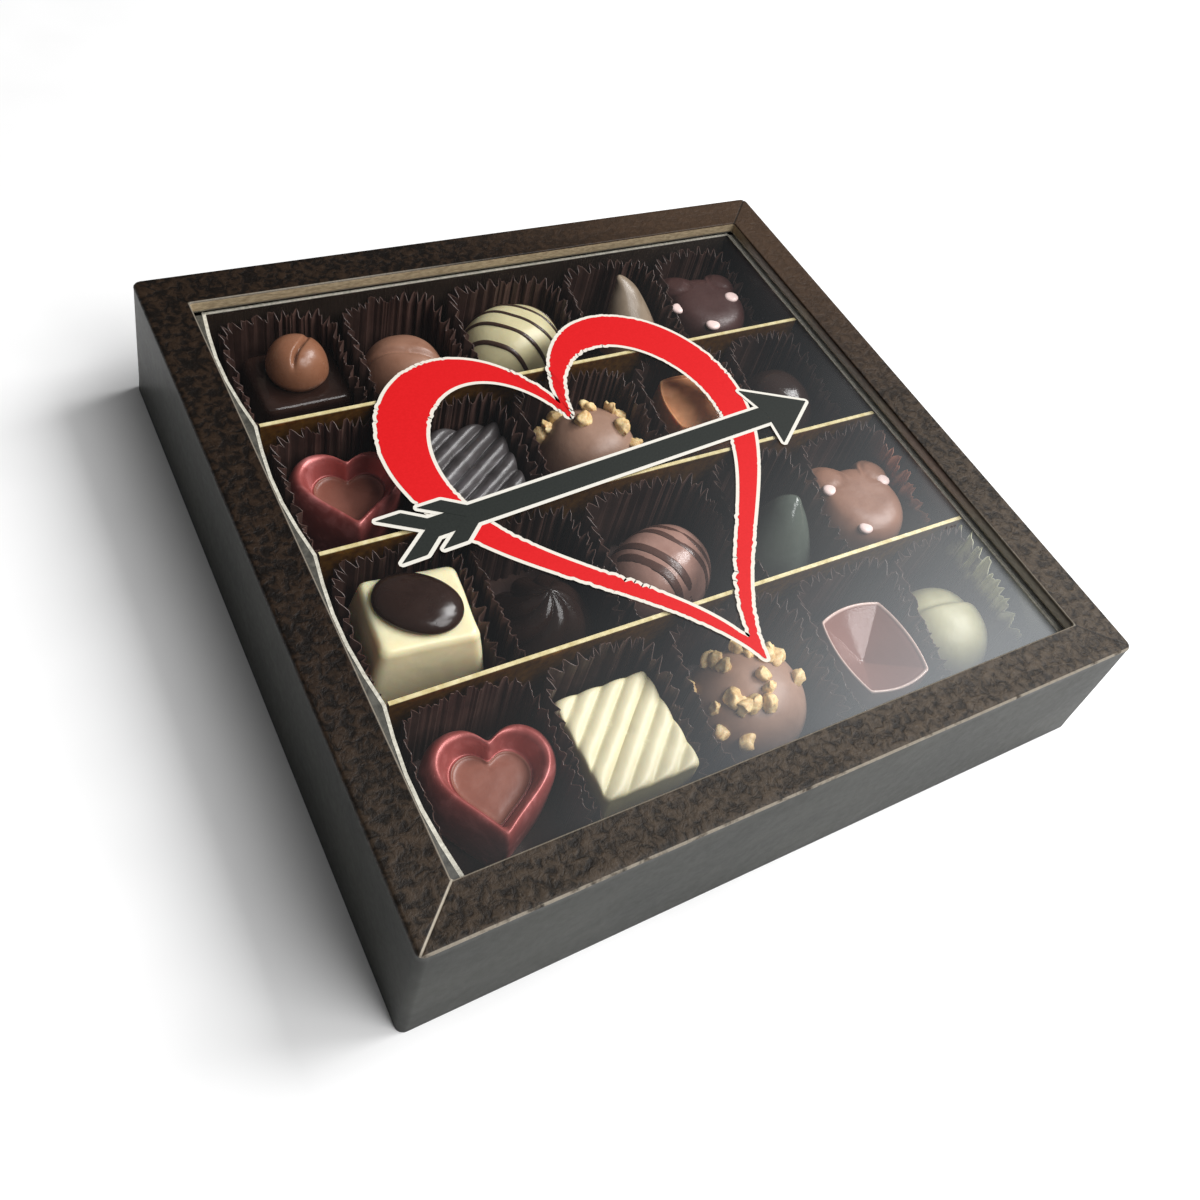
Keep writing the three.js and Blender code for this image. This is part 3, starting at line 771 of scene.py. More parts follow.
def lighting():
    soft_box("key", 92, 50, 1.5, 0.7, 20)
    soft_box("front", 150, 52, 1.4, 0.9, 15.5)
    world = bpy.data.worlds.new("studio")
    world.use_nodes = True
    world.node_tree.nodes["Background"].inputs["Color"].default_value = (1, 1, 1, 1)
    world.node_tree.nodes["Background"].inputs["Strength"].default_value = 0.1
    bpy.context.scene.world = world
    bpy.context.scene.view_settings.view_transform = "Standard"


# Carton


def carton_ring(inset, z, radius, groove=0):
    """One ring of the lid: straight sides, small arcs, and a dip along the mitre if asked."""
    arcs = [level(arc, z) for arc in corner_arcs(LID_X / 2 - inset, LID_Y / 2 - inset, radius)]
    ring = []
    for arc in arcs:
        arc[CORNER_STEPS // 2, 2] -= groove
    for arc, after in zip(arcs, arcs[1:] + arcs[:1]):
        ring.append(arc)
        share = np.linspace(0, 1, SIDE_STEPS + 1)[1:-1, None]
        ring.append(arc[-1] + share * (after[0] - arc[-1]))
    return np.vstack(ring)


def lid():
    """The lid as one folded card: leaning walls, rounded folds, rim and sunk well."""
    def lean(z):
        return -WALL_FLARE + (WALL_FLARE - 0.15) * z / LID_HEIGHT

    rings = [carton_ring(lean(z), z, 1.8) for z in (0, 0.5, 4, 10, 17, 24, 30, 31.6)]
    walls = len(rings) - 1
    start = LID_HEIGHT - FOLD_RADIUS
    for angle in np.linspace(0, 90, 6):
        c, s = math.cos(math.radians(angle)), math.sin(math.radians(angle))
        inset = lean(start) + FOLD_RADIUS * (1 - c)
        rings.append(carton_ring(inset, start + FOLD_RADIUS * s, 1.6, MITRE_GROOVE * s))
    for inset in np.linspace(1.4, RIM_WIDTH - 0.5, 7):
        sag = 0.14 * math.sin(math.pi * (inset - 1) / RIM_WIDTH)
        rings.append(carton_ring(inset, LID_HEIGHT - sag, 1.2, MITRE_GROOVE))
    for inset, z in ((9.52, 32.96), (9.65, 32.84), (RIM_WIDTH, 32.6)):
        rings.append(carton_ring(inset, z, 0.7))
    rim = len(rings) - 1
    rings += [carton_ring(RIM_WIDTH, z, 0.6) for z in (31.6, 30.6, WELL_BOTTOM)]
    rings += [carton_ring(RIM_WIDTH - WELL_CARD, z, 0.8) for z in (WELL_BOTTOM, LID_HEIGHT - CARD)]
    rings.append(carton_ring(CARD, LID_HEIGHT - CARD, 1))
    rings.append(carton_ring(CARD - WALL_FLARE, 0, 1))
    for k in range(walls - 5, walls + 1):
        push = np.array([noise.noise(Vector(p) / 45) for p in rings[k]])[:, None]
        rings[k] = rings[k] * (1 - 0.0022 * (0.4 + push) * (1, 1, 0))
    well = 5
    runs = (walls + 1, rim - walls - 1, well, len(rings) - rim - well)
    bands = np.repeat((0, 1, 2, 0), runs).repeat(len(rings[0]))
    made = piece("lid_card", closed_loft(np.array(rings)), wall_finish(), rim_finish(),
                 well_finish(), bands=bands)
    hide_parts("lid")


def ledge(edge, outer):
    """A strip of thin card from the run of places edge out to the line x = outer."""
    top = TRAY_TOP - LEDGE_PLAY
    low = top - LEDGE_CARD
    return loft(np.array([[(x, y, top), (outer, y, top), (outer, y, low), (x, y, low)]
                          for x, y in edge]))


def tray_ledge():
    """The narrow ledges of card outside the tray's bowed left wall and its right wall."""
    steps, edges = 12, ROW_EDGES_Y
    x = TRAY_LEFT - TRAY_CARD - LEDGE_PLAY
    left = []
    for high, low in zip(edges, edges[1:]):
        for share in np.arange(steps) / steps:
            bulge = LEFT_BULGE * math.sin(math.pi * share)
            left.append((x - bulge, high + share * (low - high)))
    left.append((x, edges[-1]))
    x = TRAY_RIGHT + TRAY_CARD + LEDGE_PLAY
    right = [(x, y) for y in np.linspace(edges[0], edges[-1], 25)]
    ledges = together(ledge(left, -LEDGE_OUTER), ledge(right, LEDGE_OUTER))
    made = piece("tray_ledge", ledges, ledge_finish(), smooth=False)


def dress(node, material):
    """A CAD node keeps its shape and takes a finer material."""
    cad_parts[node].data.materials.clear()
    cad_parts[node].data.materials.append(material)


# Paper cups


def new_tree(name, **sockets):
    """An empty tree of geometry nodes: what adds nodes to it, and what it is given."""
    tree = bpy.data.node_groups.new(name, "GeometryNodeTree")
    for socket, kind in sockets.items():
        kind = f"NodeSocket{kind}"
        tree.interface.new_socket(socket.replace("_", " "), in_out="INPUT", socket_type=kind)
    tree.interface.new_socket("Geometry", in_out="OUTPUT", socket_type="NodeSocketGeometry")
    return Graph(tree), tree.nodes.new("NodeGroupInput").outputs


def pleated_cup_tree():
    """A closed round of pleats: a flat foot, leaning folded walls and a pinked edge."""
    around, up, foot_share, foot_scale, power = 321, 14, 0.22, 0.95, 7
    graph, given = new_tree(
        "pleated paper cup", Width="Float", Depth="Float", Height="Float", Fold="Float",
        Pleats="Float", Seed="Float", Front_Drop="Float", Right_Rise="Float", Paper="Material")
    sheet = graph.add("GeometryNodeMeshGrid", {
        "Size X": 1, "Size Y": 1, "Vertices X": around, "Vertices Y": up})
    where = graph.add("GeometryNodeInputPosition")
    u = graph.plus(graph.add("ShaderNodeSeparateXYZ", {0: where}, out="X"), 0.5)
    v = graph.plus(graph.add("ShaderNodeSeparateXYZ", {0: where}, out="Y"), 0.5)
    disc = graph.math("DIVIDE", v, foot_share, clamp=True)
    above = graph.minus(v, foot_share)
    wall = graph.math("DIVIDE", above, 1 - foot_share, clamp=True)
    plain = graph.times(u, 2 * math.pi)
    corner = graph.math("SINE", graph.times(plain, 4))
    angle = graph.math("MULTIPLY_ADD", corner, 0.07, plain)
    c, s = graph.math("COSINE", angle), graph.math("SINE", angle)
    total = graph.plus(*(graph.math("POWER", graph.math("ABSOLUTE", a), power) for a in (c, s)))
    reach = graph.math("POWER", total, -1 / power)
    ringed = graph.add("ShaderNodeCombineXYZ", {
        "X": graph.times(c, 1.6), "Y": graph.times(s, 1.6), "Z": given["Seed"]})
    drift = graph.add("ShaderNodeTexNoise", {"Vector": ringed, "Scale": 1.4, "Detail": 2.0})
    fine = graph.add("ShaderNodeTexNoise", {"Vector": ringed, "Scale": 7.0, "Detail": 1.0})
    shuffled = graph.times(graph.minus(fine, 0.5), 1.6)
    saw = graph.math("FRACT", graph.math("MULTIPLY_ADD", u, given["Pleats"], shuffled))
    crease = graph.math("ABSOLUTE", graph.math("MULTIPLY_ADD", saw, 2, -1))
    tucked = graph.rest(crease)
    deep = graph.times(graph.between(wall, 0.55, 1), graph.between(fine, 0.6, 1.2))
    fold = graph.times(tucked, deep, given["Fold"])
    slack = graph.times(drift, wall, 0.9 * MM)
    inward = graph.times(graph.plus(fold, slack), disc)
    spread = graph.times(disc, graph.between(wall, foot_scale, 1))

    def side(size, direction):
        half = graph.minus(graph.times(size, 0.5), inward)
        return graph.times(half, reach, direction, spread)

    edge = graph.math("POWER", wall, 5)
    droop = graph.times(graph.between(crease, 1.8 * MM, 0), edge)
    wander = graph.times(graph.between(drift, -1.6 * MM, 0.8 * MM), edge)
    towards_front = graph.math("MULTIPLY_ADD", s, -0.5, 0.5)
    drop = graph.times(towards_front, graph.plus(given["Front Drop"], BACK_RISE))
    raised = graph.times(graph.math("MAXIMUM", c, 0), given["Right Rise"])
    lowered = graph.plus(graph.minus(1 + BACK_RISE, drop), raised)
    tall = graph.times(wall, given["Height"], lowered)
    height = graph.plus(graph.minus(tall, droop), wander)
    place = graph.add("ShaderNodeCombineXYZ", {
        "X": side(given["Width"], c), "Y": side(given["Depth"], s), "Z": height})
    shaped = graph.add("GeometryNodeSetPosition", {"Geometry": sheet, "Position": place})
    joined = graph.add("GeometryNodeMergeByDistance", {"Geometry": shaped, "Distance": 0.02 * MM})
    real = graph.add("GeometryNodeRealizeInstances", {"Geometry": joined})
    covered = graph.add("GeometryNodeSetMaterial", {"Geometry": real, "Material": given["Paper"]})
    graph.add("NodeGroupOutput", {"Geometry": covered})
    return graph.tree


def grown(name, tree, values, source=None, thickness=0, smooth=False):
    """The plain mesh that a tree of geometry nodes makes, as a new object at the origin."""
    made = shown(name, source or bpy.data.meshes.new(name))
    growth = made.modifiers.new("growth", "NODES")
    growth.node_group = tree
    for item in tree.interface.items_tree:
        if item.in_out == "INPUT" and item.name in values:
            growth[item.identifier] = values[item.name]
    if thickness:
        walls = made.modifiers.new("paper", "SOLIDIFY")
        walls.thickness = thickness * MM
        walls.offset = 0
    graph = bpy.context.evaluated_depsgraph_get()
    mesh = bpy.data.meshes.new_from_object(made.evaluated_get(graph), depsgraph=graph)
    mesh.polygons.foreach_set("use_smooth", [smooth] * len(mesh.polygons))
    made.modifiers.clear()
    made.data = mesh
    return made


def paper_cups():
    tree = pleated_cup_tree()
    for row, edges in enumerate(CUP_EDGES_X, start=1):
        back = ROW_EDGES_Y[row - 1] - ROW_CLEARANCE
        front = ROW_EDGES_Y[row] + ROW_CLEARANCE
        for column, (left, after) in enumerate(zip(edges, edges[1:]), start=1):
            right = after - CUP_GAP
            width, depth = right - left, back - front - 0.1
            values = {"Width": width * MM, "Depth": depth * MM, "Height": CUP_HEIGHT * MM,
                      "Fold": FOLDS.get((row, column), CUP_FOLD) * MM,
                      "Pleats": float(round(2 * (width + depth) / CUP_PITCH)),
                      "Seed": 3.1 * row + 7.7 * column, "Paper": PAPER,
                      "Front Drop": FRONT_DROPS.get((row, column), CUP_DROP),
                      "Right Rise": RIGHT_RISES.get((row, column), 0.0)}
            cup = grown(f"cup_{row}_{column}_paper", tree, values, thickness=CUP_PAPER)
            middle = (left + right) / 2, (back + front) / 2, CUP_BASE + CUP_PAPER / 2
            cup.data.transform(Matrix.Translation(Vector(middle) * MM))
            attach(cup, BODY)
            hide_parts(f"cup_{row}_{column}")


# Chocolates


def food(node, mesh, slot, *finishes, bands=None, rough=UNEVEN):
    made = piece(f"{node}_fine", uneven(mesh, rough), *finishes, bands=bands)
    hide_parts(node)
    return made


def landing(mesh):
    """What finds the top of a mesh at (x, y): a point and the way that it faces."""
    tree = BVHTree.FromPolygons(mesh[0].tolist(), mesh[1])

    def at(x, y):
        point, facing, *_ = tree.ray_cast(Vector((x, y, 100)), Vector((0, 0, -1)))
        return (None, None) if point is None else (np.array(point), np.array(facing))

    return at


def bead(path, facings, width, height):
    """A poured line along path, half sunk, with round ends."""
    path, facings = np.array(path), np.array(facings)
    ahead = np.gradient(path, axis=0)
    ahead /= np.linalg.norm(ahead, axis=1)[:, None]
    across = np.cross(ahead, facings)
    across /= np.linalg.norm(across, axis=1)[:, None]
    place = np.linspace(-1, 1, len(path))
    taper = np.sqrt(np.clip(1 - abs(place) ** 12, 0.02, 1))
    rings = []
    for p, n, a, t in zip(path, facings, across, taper):
        angles = np.linspace(0, 2 * math.pi, 10, endpoint=False)
        rings.append([p + a * width / 2 * t * math.cos(g) + n * height * t * math.sin(g)
                      for g in angles])
    return loft(np.array(rings))


def drizzle(mesh, middle, lines, turn, half_length, width, height, seed=1):
    """Poured lines across a dome; lines are their distances from the middle."""
    at = landing(mesh)
    beads = []
    for k, offset in enumerate(lines):
        path, facings = [], []
        for share in np.sin(np.linspace(-1, 1, 60) * math.pi / 2):
            along = share * half_length
            wander = 0.35 * noise.noise(Vector((along / 6, k * 5.3, seed)))
            point, facing = at(*turned(offset + wander, along, turn, middle))
            if point is not None and facing[2] > 0.1:
                path.append(point)
                facings.append(facing)
        if len(path) > 8:
            beads.append(bead(path, facings, width * (1 + 0.12 * math.sin(5 * k + seed)), height))
    return together(*beads)


def nut_tree():
    """Chopped nuts: a small lump at each point, turned, sized and chipped at random."""
    graph, given = new_tree("chopped nuts", Geometry="Geometry", Size="Float", Chips="Float",
                            Seed="Int", Nut="Material")
    chunk = graph.add("GeometryNodeMeshIcoSphere", {"Radius": 0.5, "Subdivisions": 3})
    turns = graph.add("FunctionNodeRandomValue", {
        0: (0, 0, 0), 1: (6.28, 6.28, 6.28), "Seed": given["Seed"]}, data_type="FLOAT_VECTOR")
    sizes = graph.add("FunctionNodeRandomValue", {
        0: (0.8, 0.55, 0.45), 1: (1.25, 0.95, 0.8), "Seed": given["Seed"]}, data_type="FLOAT_VECTOR")
    size = graph.add("ShaderNodeVectorMath", {0: sizes, "Scale": given["Size"]}, operation="SCALE")
    spread = graph.add("GeometryNodeInstanceOnPoints", {
        "Points": given["Geometry"], "Instance": chunk, "Rotation": turns, "Scale": size})
    real = graph.add("GeometryNodeRealizeInstances", {"Geometry": spread})
    where = graph.add("GeometryNodeInputPosition")
    grain = {"Vector": where, "Scale": 520, "Detail": 1}
    chips = graph.add("ShaderNodeTexNoise", grain, out="Color")
    centred = graph.add("ShaderNodeVectorMath", {0: chips, 1: (0.5, 0.5, 0.5)}, operation="SUBTRACT")
    shift = {0: centred, "Scale": given["Chips"]}
    offset = graph.add("ShaderNodeVectorMath", shift, operation="SCALE")
    rough = graph.add("GeometryNodeSetPosition", {"Geometry": real, "Offset": offset})
    covered = graph.add("GeometryNodeSetMaterial", {"Geometry": rough, "Material": given["Nut"]})
    graph.add("NodeGroupOutput", {"Geometry": covered})
    return graph.tree


def scatter_nuts(name, tree, mesh, middle, places, seed):
    at = landing(mesh)
    points = []
    for x, y in places:
        point, facing = at(middle[0] + x, middle[1] + y)
        points.append((point + 0.35 * facing) * MM)
    seedling = bpy.data.meshes.new(name)
    seedling.from_pydata([tuple(p) for p in points], [], [])
    values = {"Size": 4.8 * MM, "Chips": 2.3 * MM, "Seed": seed, "Nut": NUT}
    nuts = grown(name, tree, values, source=seedling, smooth=True)
    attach(nuts, BODY)


def slab(width, depth, height, radius, edge=1.6, lean=-0.02):
    """A block with soft edges. lean is the share of its width that it loses towards the top."""
    h = height
    reach = min(width, depth) / 2
    top = 0.97 - lean
    inset = top - edge / reach
    steps = [(0.05, 0), (0.93, 0), (0.97, 0.4), (top + 0.1 * lean, h - 2.2 * edge),
             (top - 0.005, h - edge), (inset + 0.35 * (top - inset), h - 0.15 * edge),
             (inset - 0.02, h), (0.5, h), (0.03, h)]
    return mould(rounded_rectangle(width / 2, depth / 2, radius), steps, 44)


def heart(width, length, height):
    """A heart with a thick round rim; the middle is a smaller flat heart, sunk."""
    count, sunk = 160, 0.585
    steps = ((0.05, 0), (0.9, 0), (0.94, 0.05), (0.97, 0.25), (0.985, 0.5), (0.98, 0.7),
             (0.945, 0.86), (0.88, 0.965), (0.81, 1), (0.75, 0.975), (0.7, 0.9), (0.64, 0.79),
             (0.605, 0.735), (sunk, 0.74), (0.57, 0.755), (0.55, 0.73), (0.3, 0.725), (0.03, 0.725))
    outline = heart_outline(width, length, count=count)
    points, faces = mould(outline, [(scale, z * height) for scale, z in steps], 76)
    half = width / 2, length / 2
    radial = np.linalg.norm(points[:, :2] / half, axis=1)
    edge = np.linalg.norm(outline / half, axis=1)
    bands = []
    for face in faces:
        first = face[1] if len(face) == 3 else face[0]
        middle = face[0] >= len(points) - 1
        share = 0 if middle else radial[first] / edge[first % count]
        bands.append(1 if points[face[0], 2] > 0.5 * height and share < sunk else 0)
    return (points, faces), bands


def bear(width, length, height):
    """A round face with two ears, with a flat crown."""
    h = height
    steps = [(0.05, 0), (0.9, 0), (0.95, 0.08 * h), (1, 0.3 * h), (0.99, 0.66 * h), (0.93, 0.86 * h),
             (0.8, 0.97 * h), (0.6, h + 0.25), (0.3, h + 0.4), (0.03, h + 0.4)]
    mesh = mould(bear_outline(width, length), steps, 44)
    ring = 3.6

    def ears(x, y):
        """A shallow groove round the middle of each ear."""
        depth = 0
        for ear_x in (-0.28, 0.28):
            out = np.hypot(x - ear_x * width, y - 0.26 * length)
            depth = depth + 0.4 * np.exp(-((out - ring) / 0.6) ** 2)
        return depth

    return press(mesh, ears, 0.7 * h)


def dots(mesh, middle, size, turn, shares, radius):
    """Small flat drops on a piece; shares are their places as shares of its size."""
    at = landing(mesh)
    steps = ((0.1, -0.4), (0.96, -0.3), (1, 0), (0.8, 0.42), (0.4, 0.6), (0.05, 0.62))
    points, faces = mould(superellipse(radius, 0.9 * radius, 2, 24), steps, 12)
    drops = []
    for x, y in shares:
        point, _ = at(*turned(x * size[0], y * size[1], turn, middle))
        drops.append((points + point, faces))
    return together(*drops)


def horn(radius, height, lean_x, lean_y, curl, power=0.68):
    """A cone that leans, with a small curl at its tip; a low power makes it fatter."""
    rings = []
    base = superellipse(radius, radius, 2, 72)
    for t in np.linspace(0, 1, 44):
        scale = (1 - t) ** power if t < 0.93 else 0.07**power * (1 - (t - 0.93) / 0.07) ** 0.5
        scale = max(scale, 0.006) * (0.93 + 0.07 * min(1, t / 0.08))
        tip = max(0, (t - 0.84) / 0.16)
        shift = np.array((lean_x, lean_y)) * t**1.5 + np.array(curl) * tip**2
        rings.append(level(base * scale + shift, t * height - 0.25 * tip**2))
    return loft(np.array(rings))


def rosette(radius, height, folds, twist):
    """A piped cone of folds, turned by twist radians on its way up."""
    steps = np.array(((0.05, 0), (0.9, 0), (1, 0.2), (0.88, 0.45), (0.64, 0.7), (0.38, 0.87),
                      (0.13, 0.97), (0.01, 1)))
    angles = np.arange(168) / 168 * 2 * math.pi
    ridge = abs(np.cos(folds * angles / 2)) ** 0.8
    rings = []
    for reach, z in flowing(steps * (radius, height), 60):
        out = reach * (0.8 + 0.2 * ridge)
        ahead = angles + twist * (z / height)
        rings.append(level(np.column_stack([out * np.cos(ahead), out * np.sin(ahead)]), z))
    return loft(np.array(rings))


def ribbed(width, depth, height, pitch, relief, turn, sharpness=0.8):
    outline = rounded_rectangle(width / 2, depth / 2, 1.1, 220)
    h = height
    steps = [(0.05, 0), (0.95, 0), (0.965, 0.4), (0.99, h - 2), (0.985, h - 0.7), (0.965, h - 0.2),
             (0.93, h), (0.6, h), (0.03, h)]
    return press(mould(outline, steps, 76), waves(pitch, relief, turn, sharpness), h - 3.6)


def faceted(width, depth, height, sink):
    """A square piece with a thin standing edge and four flat facets that fall to the middle."""
    h = height
    inner = [(0.87 * (1 - s), 0.965 * h - sink * s) for s in (0.05, 0.2, 0.4, 0.6, 0.8, 0.96)]
    steps = [(0.05, 0), (0.95, 0), (0.985, 0.04 * h), (1, 0.25 * h), (0.985, 0.6 * h),
             (0.95, 0.93 * h), (0.93, h), (0.91, h), (0.88, 0.965 * h), *inner]
    return mould(barrel(0.42 * width, 0.425 * depth, 0.08 * width, 0.4, 200), steps, 72)


def chocolates():
    nuts = nut_tree()

    food("coffee_slab", placed(slab(22, 19.6, 12.2, 2.4, edge=1.2), -55, 60.2), "dark_chocolate",
         DARK)
    crease = furrow(62, 0.5, 1.8, bend=-0.7, length=11, offset=-0.8)
    knob = press(dome(superellipse(7.2, 7.2, 2.05), 9.8, foot=0.86), crease, 4)
    food("coffee_bean_knob", placed(knob, -55.2, 60.6, FOOD_BASE + 12.2), "milk_chocolate",
         MILK_WARM, rough=0.1)
    grooved = press(dome(superellipse(11, 12, 2.2), 17), furrow(160, 0.9, 1.3), 9)
    food("grooved_milk_dome", placed(grooved, -28.8, 57.5), "milk_chocolate", MILK)

    egg = placed(dome(superellipse(14.6, 12.4, 2.1), 19.5), 1.2, 59)
    food("striped_white_dome", egg, "white_chocolate", WHITE_DOME_SHADED)
    lines = drizzle(egg, (1.2, 59), (-9, -4.4, 0.2, 4.8, 9.2), 46, 14.4, 1.15, 0.34)
    piece("white_dome_drizzle", lines, STRIPE)

    food("brown_horn", placed(horn(10.8, 22.6, -2.2, 9.8, (-1.4, 0.4), 0.62), 37.4, 54.8),
         "milk_chocolate", HORN)
    dark_dots = ((-0.39, -0.08), (0.26, -0.05), (-0.12, -0.4))
    milk_dots = ((-0.33, 0.11), (0.3, 0.12), (-0.18, -0.37))
    for node, slot, finish, spot, size, turn, shares, radius in (
        ("dark_bear", "dark_chocolate", DARK_WARM, (59.6, 56.8), (25.6, 25.2, 17), -6,
         dark_dots, 2.1),
        ("milk_bear", "milk_chocolate", MILK, (59.2, -19), (25.2, 26, 17.6), -7, milk_dots, 1.9),
    ):
        face = placed(bear(*size), *spot, turn=turn)
        food(node, face, slot, finish)
        spots = dots(face, spot, size, turn, shares, radius)
        piece(f"{node}_dots", spots, DOT)

    for node, size, spot, turn in (
        ("red_heart_back", (26.4, 25.6, 17), (-57.1, 20.2), -12),
        ("red_heart_front", (26.8, 27.2, 16.4), (-57, -54.6), -14),
    ):
        mesh, bands = heart(*size)
        food(node, placed(mesh, *spot, turn=turn), "red_coating", RED, RED_MIDDLE, bands=bands)

    food("ribbed_dark_bar", placed(ribbed(21.5, 24, 15.4, 4.4, 1.8, -52), -28.4, 20.2, turn=-4),
         "dark_chocolate", BAR_GREY)
    food("caramel_square", placed(faceted(20.4, 20.4, 17, -2.5), 35.2, 21.4, turn=-10),
         "caramel_coating", CARAMEL)
    food("dark_dome", placed(dome(superellipse(10.4, 11, 2.2), 18), 61.3, 20.4), "dark_chocolate",
         DARK)

    food("white_block", placed(slab(25, 22.6, 18.6, 2, edge=1.1, lean=0.14), -56.4, -15.6, turn=-6),
         "white_chocolate", WHITE)
    cabochon = mould(superellipse(9.5, 7.2, 2.1), [
        (0.05, 0), (0.9, 0), (0.98, 0.35), (0.995, 0.9), (0.93, 1.8), (0.78, 2.7), (0.55, 3.35),
        (0.3, 3.6), (0.03, 3.7)], 30)
    food("dark_cabochon", placed(cabochon, -56.6, -15.2, FOOD_BASE + 18.75, -40),
         "dark_chocolate", DARK, rough=0.05)
    food("piped_rosette", placed(rosette(12.2, 17, 7, 1.6), -28.2, -19.4), "dark_chocolate", DARK)

    oval = placed(dome(superellipse(13.5, 11.25, 2.2), 17), 3.4, -17.4, turn=15)
    food("striped_milk_dome", oval, "milk_chocolate", MILK_ROSE)
    lines = drizzle(oval, (3.4, -17.4), (-6.6, -3.6, 2.4, 5.4), 33, 13, 1.8, 0.12, seed=2)
    piece("milk_dome_stripes", lines, STRIPE_MILK)
    food("dark_horn", placed(horn(11.6, 21.5, 1.2, 3, (0.9, -0.6), 0.6), 35.8, -19.6),
         "dark_chocolate", GREEN_BLACK)

    food("ribbed_white_block", placed(ribbed(22.4, 24, 14, 4, 0.75, -46, 0.9), -27.6, -54.4),
         "white_chocolate", WHITE_RIBS, rough=0.08)
    food("faceted_milk_square", placed(faceted(21.4, 24.6, 14.6, 6.6), 36.2, -56.2),
         "milk_chocolate", FACETS, rough=0.06)
    shell = press(dome(superellipse(11.6, 12.3, 2.1), 15, levels=56), lobe_step(-10, 2, 2.8), 6)
    food("white_shell", placed(shell, 61.6, -55.4), "white_chocolate", SHELL)

    back_nuts = ((-8.5, 7), (-5.5, 9), (6.7, 5), (9.2, 5.2), (-10, 6.6), (5.6, -1.9), (9.3, -5),
                 (8, -5.9), (-3, 2), (1, 6.4))
    front_nuts = ((2.6, 9.5), (4.8, 9.3), (0.3, 8.8), (2.6, 8.2), (-5.5, 9.6), (1.6, 7), (4.8, 7.6),
                  (5.2, 5.5), (7, 3.4), (4.3, 6.7), (4.4, 4.7), (9.2, -2), (-5.2, 8.4), (-5.4, 5.6),
                  (0.7, 0.2), (-0.1, -2.9), (-1.5, -5.6), (-4.6, -4.6), (-7.5, -1.9), (-6.8, -4.3),
                  (-11, -1), (-11.2, -5.7), (-7.4, -9.7), (-9.5, 9.8), (-11.6, 5.6))
    for node, half_x, half_y, height, spot, places, seed in (
        ("nut_dome_back", 12.5, 12, 18, (4.6, 20.8), back_nuts, 7),
        ("nut_dome_front", 13.8, 13, 17, (4.2, -54.8), front_nuts, 19),
    ):
        mesh = placed(dome(superellipse(half_x, half_y, 2.2), height), *spot)
        food(node, mesh, "milk_chocolate", MILK_PALE)
        scatter_nuts(f"{node}_nuts", nuts, mesh, spot, places, seed)


# Print on the window


def plate(outline, low, high):
    count = len(outline)
    points = [(x, y, z) for z in (low, high) for x, y in outline]
    faces = [tuple(range(count))[::-1], tuple(range(count, 2 * count))]
    faces += [(i, (i + 1) % count, count + (i + 1) % count, count + i) for i in range(count)]
    return np.array(points), faces


def ribbon(outer, inner, low, high):
    """A flat closed band between two outlines of equal count."""
    around = ((outer, low), (outer, high), (inner, high), (inner, low))
    return closed_loft(np.array([level(edge, z) for edge, z in around]))


def moved_out(outline, distance):
    """The outline moved outwards along its normals."""
    ahead = np.roll(outline, -1, axis=0) - np.roll(outline, 1, axis=0)
    ahead /= np.linalg.norm(ahead, axis=1)[:, None] + 1e-9
    return outline + np.column_stack([ahead[:, 1], -ahead[:, 0]]) * np.reshape(distance, (-1, 1))


def bristled(outline, amount, seed):
    """The ragged side of a brush stroke: runs of fine teeth with calmer runs between them."""
    out = []
    for x, y in outline:
        run = noise.noise(Vector((x / 16, y / 16, seed)))
        tooth = noise.noise(Vector((x / 0.9, y / 0.9, seed + 3)))
        out.append(amount * max(0, run + 0.12) * 3 * tooth)
    return moved_out(outline, np.array(out))


def laid(outline, x, y, turn):
    c, s = turned(1, 0, turn)
    return outline @ np.array([[c, s], [-s, c]]) + (x, y)


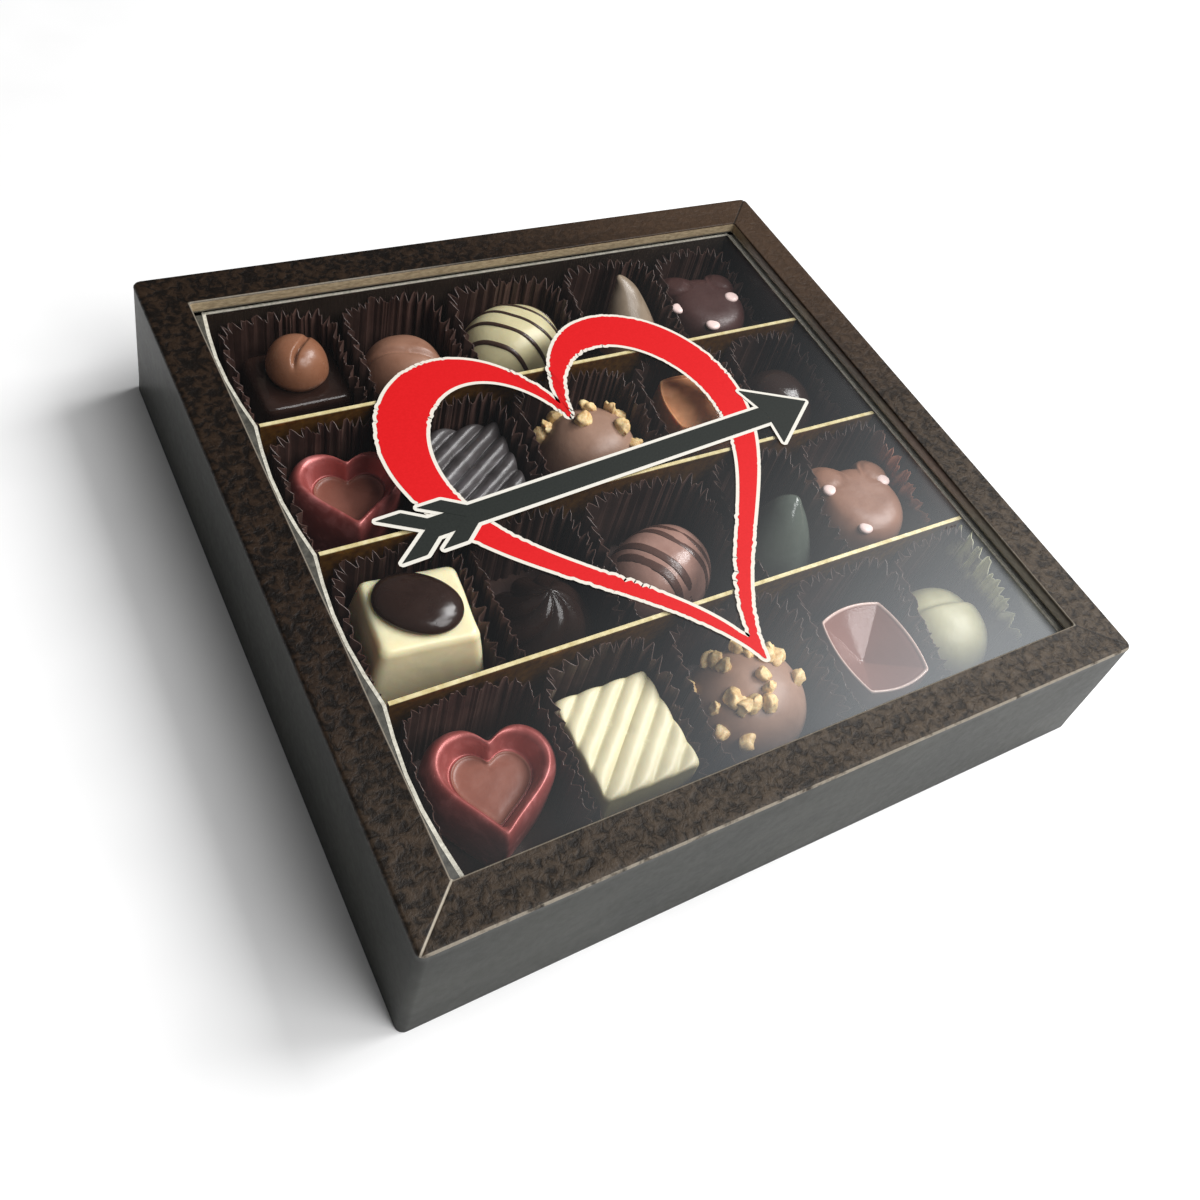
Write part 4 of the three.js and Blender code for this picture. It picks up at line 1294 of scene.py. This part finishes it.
def printed_heart():
    count = 900
    width, length, stroke, tip = 92, 104, 9, 5
    outer = bristled(softened(heart_outline(width, length, 0, count), 6), 0.5, 1)
    inner = heart_outline(width - 2 * stroke, length - stroke - tip, 0, count)
    inner = bristled(softened(inner - (0, (stroke - tip) / 2), 10), 0.5, 2)
    low = FILM_TOP + HEART_LIFT
    edges = (moved_out(outer, BORDER), moved_out(inner, -BORDER), outer, inner)
    edges = [laid(edge, -2, -4, 6) for edge in edges]
    white = ribbon(edges[0], edges[1], low, low + INK)
    red = ribbon(edges[2], edges[3], low + INK + 0.01, low + 2 * INK)
    bands = [0] * len(white[1]) + [1] * len(red[1])
    made = piece("printed_heart", together(white, red), ink_finish("white ink", (226, 220, 208)),
                 ink_finish("red ink", (212, 16, 22)), bands=bands, smooth=False)
    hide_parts("print_heart")


def arrow_parts(length, stroke, head_length, head_width, barbs):
    """The shaft, the head and the slanted feathers of an arrow, as simple outlines."""
    half = stroke / 2
    neck = length / 2 - head_length
    tail = stroke - length / 2
    shaft = [(tail, -half), (neck + 1, -half), (neck + 1, half), (tail, half)]
    head = [(neck - 2, -head_width / 2), (length / 2, 0), (neck - 2, head_width / 2), (neck, 0)]
    parts = [shaft, head]
    for i in range(barbs):
        x = tail + 1.8 * stroke * i
        out = 2.3 * half
        feather = [(x - 1.6 * stroke, out), (x - 0.5 * stroke, out), (x + stroke, 0), (x, 0)]
        parts += [feather[::-1], [(px, -py) for px, py in feather]]
    return [softened(even(np.array(part), 400), 0.5) for part in parts]


def printed_arrow():
    low = FILM_TOP + ARROW_LIFT
    white, dark = [], []
    for k, outline in enumerate(arrow_parts(112, 5.2, 13, 19, 2)):
        lift = 0.012 * k
        below = laid(moved_out(outline, BORDER), 1, 3, 5)
        white.append(plate(below, low + lift, low + lift + INK))
        above = low + INK + 0.08 + lift
        dark.append(plate(laid(outline, 1, 3, 5), above - 0.02, above))
    bands = [0] * sum(len(faces) for _, faces in white) + [1] * sum(len(faces) for _, faces in dark)
    made = piece("printed_arrow", together(*white, *dark), ink_finish("pale ink", (226, 222, 212)),
                 ink_finish("charcoal ink", (36, 40, 37)), bands=bands, smooth=False)
    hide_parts("print_arrow")


camera()
floor()
lighting()
lid()
tray_ledge()
dress("window_film", window_finish())
dress("base_panel", base_finish())
dress("inner_tray", tray_finish())
GOLD = gold_finish()
for number in (1, 2, 3):
    dress(f"divider_{number}", GOLD)
paper_cups()
chocolates()
printed_heart()
printed_arrow()
